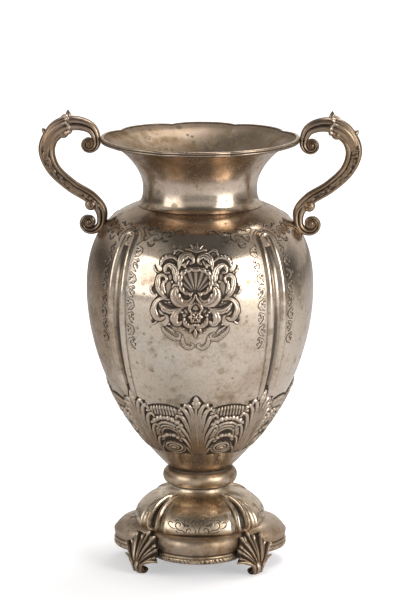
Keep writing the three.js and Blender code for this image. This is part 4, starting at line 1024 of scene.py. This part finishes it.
# Dome: the sheet with its relief, and a plug at the stem's top in place of one inner row.
def makeDome():
    rows = foot["domeRows"]
    lines = unevenLines(480, lambda f: 1 + 1.8 * bell(f, 45, 11, 4))
    plug = [(28.2, 78.4), (28.2, 81.7), (26.7, 81.7), (26.7, 75.4)]
    section, normals = sheetOf(domeProfile, rows, foot["domeInsideRows"])
    section = np.vstack([section[:rows], plug, section[rows + 1:]])
    normals = np.vstack([normals[:rows], np.zeros((4, 2)), normals[rows + 1:]])
    lift, valley = domeRelief(lines, section[:, :1], section[:, 1:])
    points = offSheet(lines, section, normals, lift, valley + sideDraw(lines, section[:, :1]))
    relief = np.full(points.shape[:2], 0.5)
    outer = lift[:rows]
    relief[:rows] = np.minimum(hollowness(outer, 3, 4.5, wrap=True), 0.5 + 0.2 * np.minimum(outer, 0))
    makePiece("dome", [skin(points, relief, wrapRows=True)], "foot", ["foot_dome"], 50)


# Border: a cushion with a ledge above it. Its side lobes rise towards the dome and drop at their outer edge.
def makeBorder():
    top, out = foot["ledgeLevel"], foot["baseRadius"]
    profile = chain((82.6, 24.6), [(83.4, 27.2), (out + 0.4, 29.7), (out + 0.4, 32.3)],
                    [(out + 0.4, 37.8), (out - 1.8, top - 0.4), (out - 6.6, top + 0.1)],
                    [(72, top + 0.5), (60, top + 0.8), (52, top + 0.8)])
    section, _ = sheetOf(profile, 74, 12)
    radius, level = section[:, :1], section[:, 1:]
    lines = unevenLines(480, lambda f: 1 + 1.2 * bell(f, 45, 6))
    sideward = np.abs(np.sin(lines)) ** 4
    rise = sideward * smoothStep(radius, 81, 66) * (level > top - 6)
    drop = sideward * smoothStep(radius, 74, 84) * smoothStep(level, 31, 39)
    points = lobed(lines, section)
    points[..., 2] += foot["sideRise"] * rise - foot["sideEdgeDrop"] * drop
    # A painted shade line on the ledge at the dome's foot, left off where the side lobes rise; the cushion is
    # also darker along its lower edge at the wire.
    paintedShadeAtDomeFoot = smoothStep(radius, 74.5, 72) * (1 - np.minimum(rise * 2, 1))
    relief = 0.5 - 0.3 * paintedShadeAtDomeFoot - 0.3 * smoothStep(level, 26, 24.8)
    makePiece("border", [skin(points, relief, wrapRows=True)], "border", ["base_border"], 50)


# Wire: a moulded band. Its lower edge is cut with small leaves, each a row of slanting grooves.
def makeWire():
    section = throughPoints([(81.7, 16.5), (83.2, 16.5), (84.1, 18.2), (84.2, 20), (83.7, 21.4), (84.1, 22.4),
                             (83.9, 23.7), (83.0, 24.3), (81.7, 24.3)], 5)
    level, lines = section[:, 1:], around(900)[None, :]
    lower = bell(level, 18.6, 2.2, 4) * (section[:, :1] > 82.6)
    uneven = wander((len(section), lines.shape[1]), 3, 91, wrap=True)
    cuts = np.abs(np.sin(64 * lines + 0.5 * uneven + level * 0.5)) ** 0.7
    dent = 0.6 * lower * (1 - cuts) * (1 + 0.5 * uneven)
    moved = lobed(lines, section)
    out = moved[..., :2] / np.linalg.norm(moved[..., :2], axis=-1, keepdims=True)
    moved[..., :2] -= out * dent[..., None]
    relief = np.clip(0.5 + 0.3 * lower - dent - 0.3 * bell(level, 21.4, 0.5), 0, 1)
    makePiece("wire", [skin(moved, relief, wrapRows=True)], "foot", ["base_wire"], 50)


makeKnop()
makeDome()
makeBorder()
makeWire()

# Engraved panels on the four sides of the dome: pairs of C scrolls over small leaves, cut as thin lines.
domePanel = {
    "halfAcross": 33.0, "from": 4.0, "to": 24.0, "columns": 168, "rows": 54, "hand": 0.3, "line": 0.62,
    "cutDepth": 0.1, "backRow": 12,
    "strokes": [
        [(3, 12.5), (1.6, 7), (5.4, 2.8), (10.4, 4.2), (11.2, 8.6), (7.8, 10.6), (6.2, 8.2)],
        [(11.6, 4.6), (15, 8), (19.4, 8.4), (22.4, 12.2), (20.2, 15.6), (16.8, 14.4), (17.4, 12.2)],
        [(22.8, 9), (26.4, 9.8), (29.6, 13.2), (27.8, 16.4), (25.2, 15)],
        [(3, 12.5), (5.4, 15.4), (3.8, 18.6), (1, 17), (2, 15)], [(7.6, 13.2), (11.4, 14.4), (13.2, 18.4)],
        [(8.6, 12.4), (12.6, 13.2), (15.2, 16.6)], [(13.4, 10.6), (12.6, 13.4), (14.6, 15.8)],
        [(22.8, 16), (21, 18.2), (18.2, 17.6)], [(4.4, 5.4), (7, 4.8), (8.6, 6.6)],
        [(15.6, 5.6), (19, 5.4), (21.8, 7.2)],
    ],
}


# Each panel is drawn flat by arc across and length along the dome, cut as thin lines, and laid on its relief.
def makeDomePanels():
    c = domePanel
    lengths = np.linspace(c["from"], c["to"], c["rows"])
    across = np.linspace(-c["halfAcross"], c["halfAcross"], c["columns"])
    x, y = np.meshgrid(across, lengths)
    place, face = atLengths(domeProfile, lengths)
    azimuth = x / place[:, :1]
    lift, dip = domeRelief(azimuth, place[:, :1], place[:, 1:])
    edge = fromEdge(x, y, c["halfAcross"], c["from"], c["to"])
    some = slice(None, None, -c["backRow"])  # the rows of the back, from the top down
    skins = []
    for side in range(4):
        handX, handY = (c["hand"] * wander(x.shape, 9, seed + side) for seed in (60, 70))
        sheet = Drawing(np.abs(x + handX), y + handY)
        for points in c["strokes"]:
            sheet.scroll(points, (0.7 * c["line"], c["line"], 0.8 * c["line"]), 1)
        cut = np.sqrt(sheet.height)
        near = smoothStep(blurred(sheet.height, 1.6 / 0.33), 0.02, 0.12) * smoothStep(edge, 0, 1.5)
        height = blend(-0.4, 0.12, near) - c["cutDepth"] * cut
        valley = dip + sideDraw(azimuth + side * quarter, place[:, :1])
        front = offSheet(azimuth, place, face, height + lift, valley)
        back = offSheet(azimuth[some], place[some], face[some], lift[some] - 1.0, valley[some])
        skins.append(turnedSkin(plate(front, back, 0.56 - 0.5 * cut), side * quarter))
    makePiece("dome_chasing", skins, "foot", ["foot_dome"])


makeDomePanels()
print("foot made")

# Cast feet: a fan leaf over a scroll that curls in at the toe.

castFoot = {
    "notchRadius": 64.8, "root": (86.0, 5.5), "spread": 66.0, "columns": 240, "rows": 76, "thickness": 3.4,
    # Fingers: length and how far the tip stands out, from the middle to the side.
    "fingers": [(36.5, 2.5), (37, 9), (32, 14), (21.5, 14)],
    # Scroll: x, z, depth, width. Rim of an arch: x, y, z, radius.
    "scroll": [(59.8, 14.2, 3.2, 10.4), (72.8, 14.2, 4.2, 11.5), (82.4, 13, 4.4, 12),
               (85.6, 8.2, 4.4, 11.5), (82.8, 2.6, 4.2, 10.5), (77.6, 1.6, 3.2, 9.5), (74.8, 3.4, 2.4, 8.5),
               (76.4, 5.6, 2, 8)],
    "archRim": [(85, 4, 2.4, 1.4), (86.2, 5.2, 7.4, 1.5), (85.4, 8.6, 12.2, 1.5), (83.4, 13.6, 14.6, 1.5),
                (81.4, 19.4, 15.6, 1.3), (79.6, 23.4, 15.4, 1)],
}


# Bar along a course in the XZ plane of the piece: a ring of (across, sideways) places is carried along,
# scaled by depth and width, and lifted outwards. Courses hold x, z, depth, width.
def barSkin(line, ring, lift, relief):
    centre, way = line[:, :2], np.gradient(line[:, :2], axis=0)
    way /= np.linalg.norm(way, axis=1, keepdims=True)
    n, y = ring[:, 0] * line[:, 2:3] / 2, ring[:, 1] * line[:, 3:4] / 2
    size = np.maximum(np.hypot(n, y), 1e-6)
    n, y = n + lift * n / size, y + lift * y / size
    points = np.stack([centre[:, :1] - way[:, 1:] * n, y, centre[:, 1:] + way[:, :1] * n], axis=-1)
    return skin(points, relief, flip=True)


# Ring of a cast bar: a rounded box, with grooves down its sides.
def barRing(count, square, grooves=()):
    n, y = (np.sign(v) * np.abs(v) ** square for v in (np.cos(around(count)), np.sin(around(count))))
    for place, width, depth in grooves:
        y = y * (1 - depth * bell(n, place, width))
    return np.stack([n, y], axis=1)


# Round knob with its axis along Y: its section is turned about the axis.
def knobSkin(x, z, radius, halfWidth):
    angle, t = around(40), np.linspace(-1, 1, 25)[:, None]
    r = radius * np.maximum(np.clip(1 - np.abs(t) ** 3.2, 0, 1) ** 0.5, 0.03)
    y = halfWidth * np.sign(t) * np.abs(t) ** 0.8
    points = np.stack(np.broadcast_arrays(x + r * np.cos(angle), y, z + r * np.sin(angle)), axis=-1)
    return skin(points, 0.62 - 0.5 * bell(np.abs(t), 0.97, 0.05), flip=True)


# Round rod through points of x, y, z and radius.
def rodSkin(course):
    way = np.gradient(course[:, :3], axis=0)
    way /= np.linalg.norm(way, axis=1, keepdims=True)
    first = np.cross(way, [1.0, 0, 0])
    first /= np.linalg.norm(first, axis=1, keepdims=True)
    second = np.cross(way, first)
    angle = around(14)[None, :, None]
    ring = first[:, None] * np.cos(angle) + second[:, None] * np.sin(angle)
    return skin(course[:, None, :3] + ring * course[:, None, 3:4], 0.66)


# Fan leaf of a foot: fingers of given length and stand-out spread from a root, each with its ribs. The ribs
# bend outwards as they climb, and each finger ends in a lobe that turns out.
def footLeaf():
    c = castFoot
    u = np.linspace(-1, 1, c["columns"])[None, :]
    v = np.linspace(0, 1, c["rows"])[:, None]
    finger = np.abs(u) * 3
    length, standOut = (np.interp(finger, np.arange(4), values) for values in np.array(c["fingers"], float).T)
    valley = 1 - np.abs(np.cos(np.pi * finger))
    rib = (0.5 + 0.5 * np.cos(4 * np.pi * finger)) ** 1.4
    reach = length * (1 - 0.13 * valley - 0.06 * (1 - rib)) * blend(0.1, 1, v)
    angle = u * np.radians(c["spread"]) * (0.78 + 0.22 * v)
    relief = (2.1 * rib - 1.2 * valley ** 2) * smoothStep(v, 0.0, 0.25)
    bulge = 2.0 * np.sin(np.pi * v) + relief * (1 - 0.3 * v)
    out = blend(c["root"][0], c["notchRadius"] - 0.3 + standOut, v ** 1.3) + bulge
    curl = 1.9 * smoothStep(v, 0.84, 0.98) * (0.35 + 0.65 * rib)  # tips turn outwards
    up = np.maximum(c["root"][1] + reach * np.cos(angle), 0.3)
    front = np.stack(np.broadcast_arrays(out + curl, reach * np.sin(angle), up), axis=-1)
    back = front[::-7] - [c["thickness"], 0, 0]
    return plate(front, back, hollowness(relief + curl, 3.5, 1.8), 0.3)


# The leaf is made on +X, which is azimuth 90 degrees; the feet stand on the diagonals.
def makeFeet():
    c = castFoot
    ridges = 0.35 * np.cos(6 * around(40))
    scroll = barSkin(throughPoints(c["scroll"], 14), barRing(40, 0.7, [(0, 0.3, 0.12)]), ridges, 0.5 + ridges)
    scroll[0][:, 2] = np.maximum(scroll[0][:, 2], 0)
    right = throughPoints(c["archRim"], 10)
    parts = [footLeaf(), scroll, rodSkin(right), rodSkin(right * [1, -1, 1, 1])]
    for index, name in enumerate(("right_back", "left_back", "left_front", "right_front")):
        skins = [turnedSkin(part, quarter / 2 + index * quarter) for part in parts]
        makePiece("foot_leaf_" + name, skins, "cast", ["leaf_foot_" + name], 60)


makeFeet()

# Handles.

handle = {
    "lowSeat": (90.6, 349.8), "highSeat": (98.9, 430.3), "reach": 63.0, "depth": 16.6, "width": 14.0,
    # Arm: reach, share of the climb, depth, as shares of the whole handle's.
    "arm": [(0.116, 1.115, 0.66), (0.289, 1.182, 0.82), (0.503, 1.176, 0.92), (0.739, 1.06, 1),
            (0.869, 0.862, 1), (0.808, 0.633, 0.84), (0.548, 0.413, 0.78), (0.248, 0.253, 0.78),
            (0.113, 0.101, 0.72)],
    "highCentre": (12, -5.2), "lowCentre": (20.3, -3.2), "voluteEye": 3.1,
    "capFrom": 0.408, "capTo": 0.5, "moveIn": 0.1,
}


# Place in the XZ plane: a share of the way from the low seat to the high one, and out by a share of the
# reach.
def handlePlace(reach, share):
    x, z = blend(np.array(handle["lowSeat"]), np.array(handle["highSeat"]), share)
    return x + handle["reach"] * reach, z


# Volute that winds in: its radius and depth shrink together to the eye.
def voluteCourse(centre, startAngle, sweep, radius, depth):
    share = np.linspace(0, 1, 9)
    angle = np.radians(startAngle + sweep * share)
    r, d = blend(radius, handle["voluteEye"], share ** 0.75), blend(depth, handle["voluteEye"], share ** 0.7)
    return np.stack([centre[0] + r * np.cos(angle), centre[1] + r * np.sin(angle), d,
                     np.full(9, handle["width"] * 0.85)], axis=1)


# Pointed bud with five furrows that grows from a place in the XZ plane, leaning by an angle.
def budSkin(x, z, lean, radius, length):
    angle, t = around(28), np.linspace(0, 1, 22)[:, None]
    furrow = (0.5 - 0.5 * np.cos(5 * angle)) * t
    r = radius * np.maximum(np.sin(np.pi * t ** 0.75) ** 0.8, 0.04) * (1 - 0.16 * furrow)
    across, up = r * np.cos(angle), blend(-radius, length, t)
    points = np.stack([x + across * np.cos(lean) + up * np.sin(lean), r * np.sin(angle),
                       z - across * np.sin(lean) + up * np.cos(lean)], axis=-1)
    return skin(points, 0.75 - 0.5 * furrow)


# The parts of one handle: a bar from volute to volute, the leaf cap on it, knobs in the volutes, and buds.
def handleParts():
    c = handle
    highCentre = np.add(c["highSeat"], c["highCentre"])
    lowCentre = np.add(c["lowSeat"], c["lowCentre"])
    high = voluteCourse(highCentre, 172, 330, 8.7, 7.4)[::-1]
    arm = np.array([(*handlePlace(reach, climb), c["depth"] * d, c["width"] * (0.6 + 0.4 * d))
                    for reach, climb, d in c["arm"]])
    low = voluteCourse(lowCentre, 190, 320, 12.3, 9)
    course = throughPoints(np.vstack([high, arm, low]), 22)
    ring, angle = barRing(72, 0.72), around(72)
    share = np.linspace(0, 1, len(course))[:, None]
    n = ring[None, :, 0]
    side = smoothStep(np.abs(ring[None, :, 1]), 0.4, 0.75)

    # Upper arm and volutes: one deep groove between two round ribs. Lower arm: a matted panel, then a groove.
    lower = smoothStep(share, c["capFrom"], c["capFrom"] + 0.04) * smoothStep(share, 0.66, 0.63)
    groove = -1.7 * bell(n, 0.05, 0.17) * (1 - lower)
    panel = smoothStep(n, -0.4, -0.3) * smoothStep(n, 0.72, 0.62) * lower
    edge = -1.5 * bell(n, -0.42, 0.1) * lower
    matt, worn = (strength * wander((len(course), 72), sigma, seed, wrap=True)
                  for strength, sigma, seed in ((0.2, 0.8, 81), (0.07, 5, 82)))
    lift = side * (groove + edge + panel * (matt - 0.7))
    tone = hollowness(lift, 2.2, 1.7, wrap=True) + worn - 0.12 * side * panel
    bar = barSkin(course, ring, lift, np.clip(tone, 0, 1))

    # Leaf cap: a lobed lip that curls off the arm, with veins that run down the outer bend and die out.
    part = course[(share[:, 0] > c["capFrom"]) & (share[:, 0] < c["capTo"])]
    t = np.linspace(0, 1, len(part))[:, None]
    lobe = np.abs(np.cos(3.5 * angle))[None, :] ** 0.6
    start = 0.02 + 0.13 * (1 - lobe)
    cover = smoothStep(t, start, start + 0.03) * smoothStep(t, 1.0, 0.35)
    veins = 0.5 + 0.5 * np.cos(14 * angle + 3.5 * np.cos(angle) * t)
    lip = 1.5 * bell(t - start, 0.05, 0.06)
    capLift = blend(-0.9, 0.7 + lip + 0.9 * veins, cover)
    capLift = blend(-0.9, capLift, smoothStep(t, 0.0, 0.02)) - 0.5 * smoothStep(n, 0.55, 0.95) * (1 - lip)
    leaf = barSkin(part, ring, capLift, hollowness(capLift, 2.2, 2.0, wrap=True))

    # Knobs: a wide low one and a narrow one through it, by outer radius, eye radius and half-width.
    knobs = []
    wide, narrow = 0.56 * c["width"], 0.27 * c["width"]
    for (x, z), outer, eye, flat in ((highCentre, 6.4, 3.0, narrow), (lowCentre, 6.8, 3.2, narrow),
                                     (handlePlace(0.57, 1.07), 5.2, 2.5, wide),
                                     (handlePlace(0.265, 0.178), 5.9, 2.9, wide)):
        knobs += [knobSkin(x, z, outer, flat), knobSkin(x, z, eye, max(flat, c["width"] * 0.47) + 0.9)]
    buds = [budSkin(*handlePlace(0.465, 1.27), 0.1, 3, 7.3), budSkin(*handlePlace(0.86, 1.08), 0.8, 3, 4.9)]
    return [bar, leaf, *knobs, *buds]


# One handle is made on +X and turned half round for the other.
def makeHandles():
    parts = handleParts()
    for part in parts:
        part[0][:, 0] -= handle["moveIn"]  # stays inside the CAD's width
    for name, turn in (("right", 0.0), ("left", np.pi)):
        skins = [turnedSkin(part, turn) for part in parts]
        makePiece("scroll_handle_" + name, skins, "handle", ["handle_" + name], 60)


makeHandles()
print("handles made")

# Floor, light and camera, in metres.

studio = {
    "floorColour": (0.80, 0.80, 0.81, 1), "floorLift": 0.44, "paintedShadowDepth": 0.12,
    "floorHalf": 7, "floorLines": 41,
    "cameraPlace": (0.1336, -3.3273, 0.957), "cameraTilt": 78.3, "cameraTurn": 2.3,
    "lens": 203.9, "sensor": 36,
    # Each lamp: name, place, aim, width, height, watts, colour.
    "lamps": [
        ("left_window", (-1.5, -1.1, 0.72), (0, 0, 0.3), 1.3, 1.25, 9, (1, 0.98, 0.95)),
        ("right_window", (1.52, -1.12, 0.72), (0, 0, 0.3), 1.0, 1.3, 24, (1, 0.99, 0.97)),
        ("top_box", (0.5, 0.7, 2.3), (0, 0, 0.2), 1.2, 1.2, 26, (1, 1, 1)),
    ],
}


# Pale floor that glows for the camera alone: least under the vase, a painted contact shadow, and pure white
# far out.
def makeFloor():
    span = np.linspace(-studio["floorHalf"], studio["floorHalf"], studio["floorLines"])
    x, y = np.meshgrid(span, span)
    points = np.stack([x, y, 0 * x], axis=-1)
    index = np.arange(x.size).reshape(x.shape)
    quads = np.stack([index[:-1, :-1], index[:-1, 1:], index[1:, 1:], index[1:, :-1]], axis=-1).reshape(-1, 4)
    mesh = bpy.data.meshes.new("floor")
    mesh.from_pydata(points.reshape(-1, 3).tolist(), [], quads.tolist())
    floor = bpy.data.objects.new("floor", mesh)
    bpy.context.scene.collection.objects.link(floor)
    material = bpy.data.materials.new("pale_floor")
    material.use_nodes = True
    tree = material.node_tree
    sockets = tree.nodes["Principled BSDF"].inputs
    sockets["Base Color"].default_value = studio["floorColour"]
    sockets["Roughness"].default_value = 0.9
    sockets["Emission Strength"].default_value = 1.0
    start = Shade(tree)
    seen = start.node("ShaderNodeLightPath", output="Is Camera Ray")
    place = start.node("ShaderNodeTexCoord", output="Object")
    away = start.node("ShaderNodeVectorMath", {"operation": "LENGTH"}, {0: place}, "Value")
    lift = (studio["floorLift"] + away.step(0.06, 0.15) * studio["paintedShadowDepth"]
            + away.step(0.5, 1.6) * (1 - studio["floorLift"] - studio["paintedShadowDepth"]))
    # Near the vase the glow's red and green drop a little: the cool tint of the painted shadow.
    cool = 1 - away.step(1.2, 0.3) * 0.02
    warm = seen * lift * cool
    glow = start.node("ShaderNodeCombineXYZ", {}, {0: warm, 1: warm, 2: seen * lift})
    tree.links.new(glow.socket, sockets["Emission Color"])
    mesh.materials.append(material)


# World: white for the camera. Reflections see a dim room with a lit wall behind the camera, pale light high
# on both sides, and a pale backdrop behind the vase that ends towards the left.
def makeWorld():
    world = bpy.data.worlds.new("studio")
    bpy.context.scene.world = world
    world.use_nodes = True
    tree = world.node_tree
    start = Shade(tree)
    way = start.node("ShaderNodeTexCoord", output="Generated")
    x, y, z = (way.part(axis) for axis in "XYZ")
    lit = y.step(-0.3, -0.95) * z.step(0.55, 0.15) * 0.42
    backdrop = y.step(0.35, 0.9) * z.step(0.8, 0.4) * x.step(-0.8, -0.2) * 0.62
    aloft = x.maths("ABSOLUTE", x).step(0.3, 0.75) * z.step(0.1, 0.45) * 0.42
    room = 0.1 + lit + backdrop + aloft
    seen = start.node("ShaderNodeLightPath", output="Is Camera Ray")
    sockets = tree.nodes["Background"].inputs
    tree.links.new(seen.mix((1.0, 0.96, 0.91, 1), (1, 1, 1, 1)).socket, sockets["Color"])
    tree.links.new((room * (1 - seen) + seen).socket, sockets["Strength"])


# Three soft rectangles of light, each turned to its aim.
def makeLamps():
    for name, place, aim, width, height, watts, colour in studio["lamps"]:
        data = bpy.data.lights.new(name, "AREA")
        data.shape, data.size, data.size_y = "RECTANGLE", width, height
        data.energy, data.color = watts, colour
        lamp = bpy.data.objects.new(name, data)
        lamp.location = place
        lamp.rotation_euler = (Vector(aim) - Vector(place)).to_track_quat("-Z", "Y").to_euler()
        bpy.context.scene.collection.objects.link(lamp)


# Camera at the photograph's angle, tilted from straight down and turned about the upright.
def makeCamera():
    data = bpy.data.cameras.new("camera")
    data.lens, data.sensor_width = studio["lens"], studio["sensor"]
    camera = bpy.data.objects.new("camera", data)
    camera.location = studio["cameraPlace"]
    camera.rotation_euler = (np.radians(studio["cameraTilt"]), 0, np.radians(studio["cameraTurn"]))
    bpy.context.scene.collection.objects.link(camera)
    bpy.context.scene.camera = camera


makeFloor()
makeWorld()
makeLamps()
makeCamera()
bpy.context.scene.view_settings.view_transform = "Standard"
print("studio made")
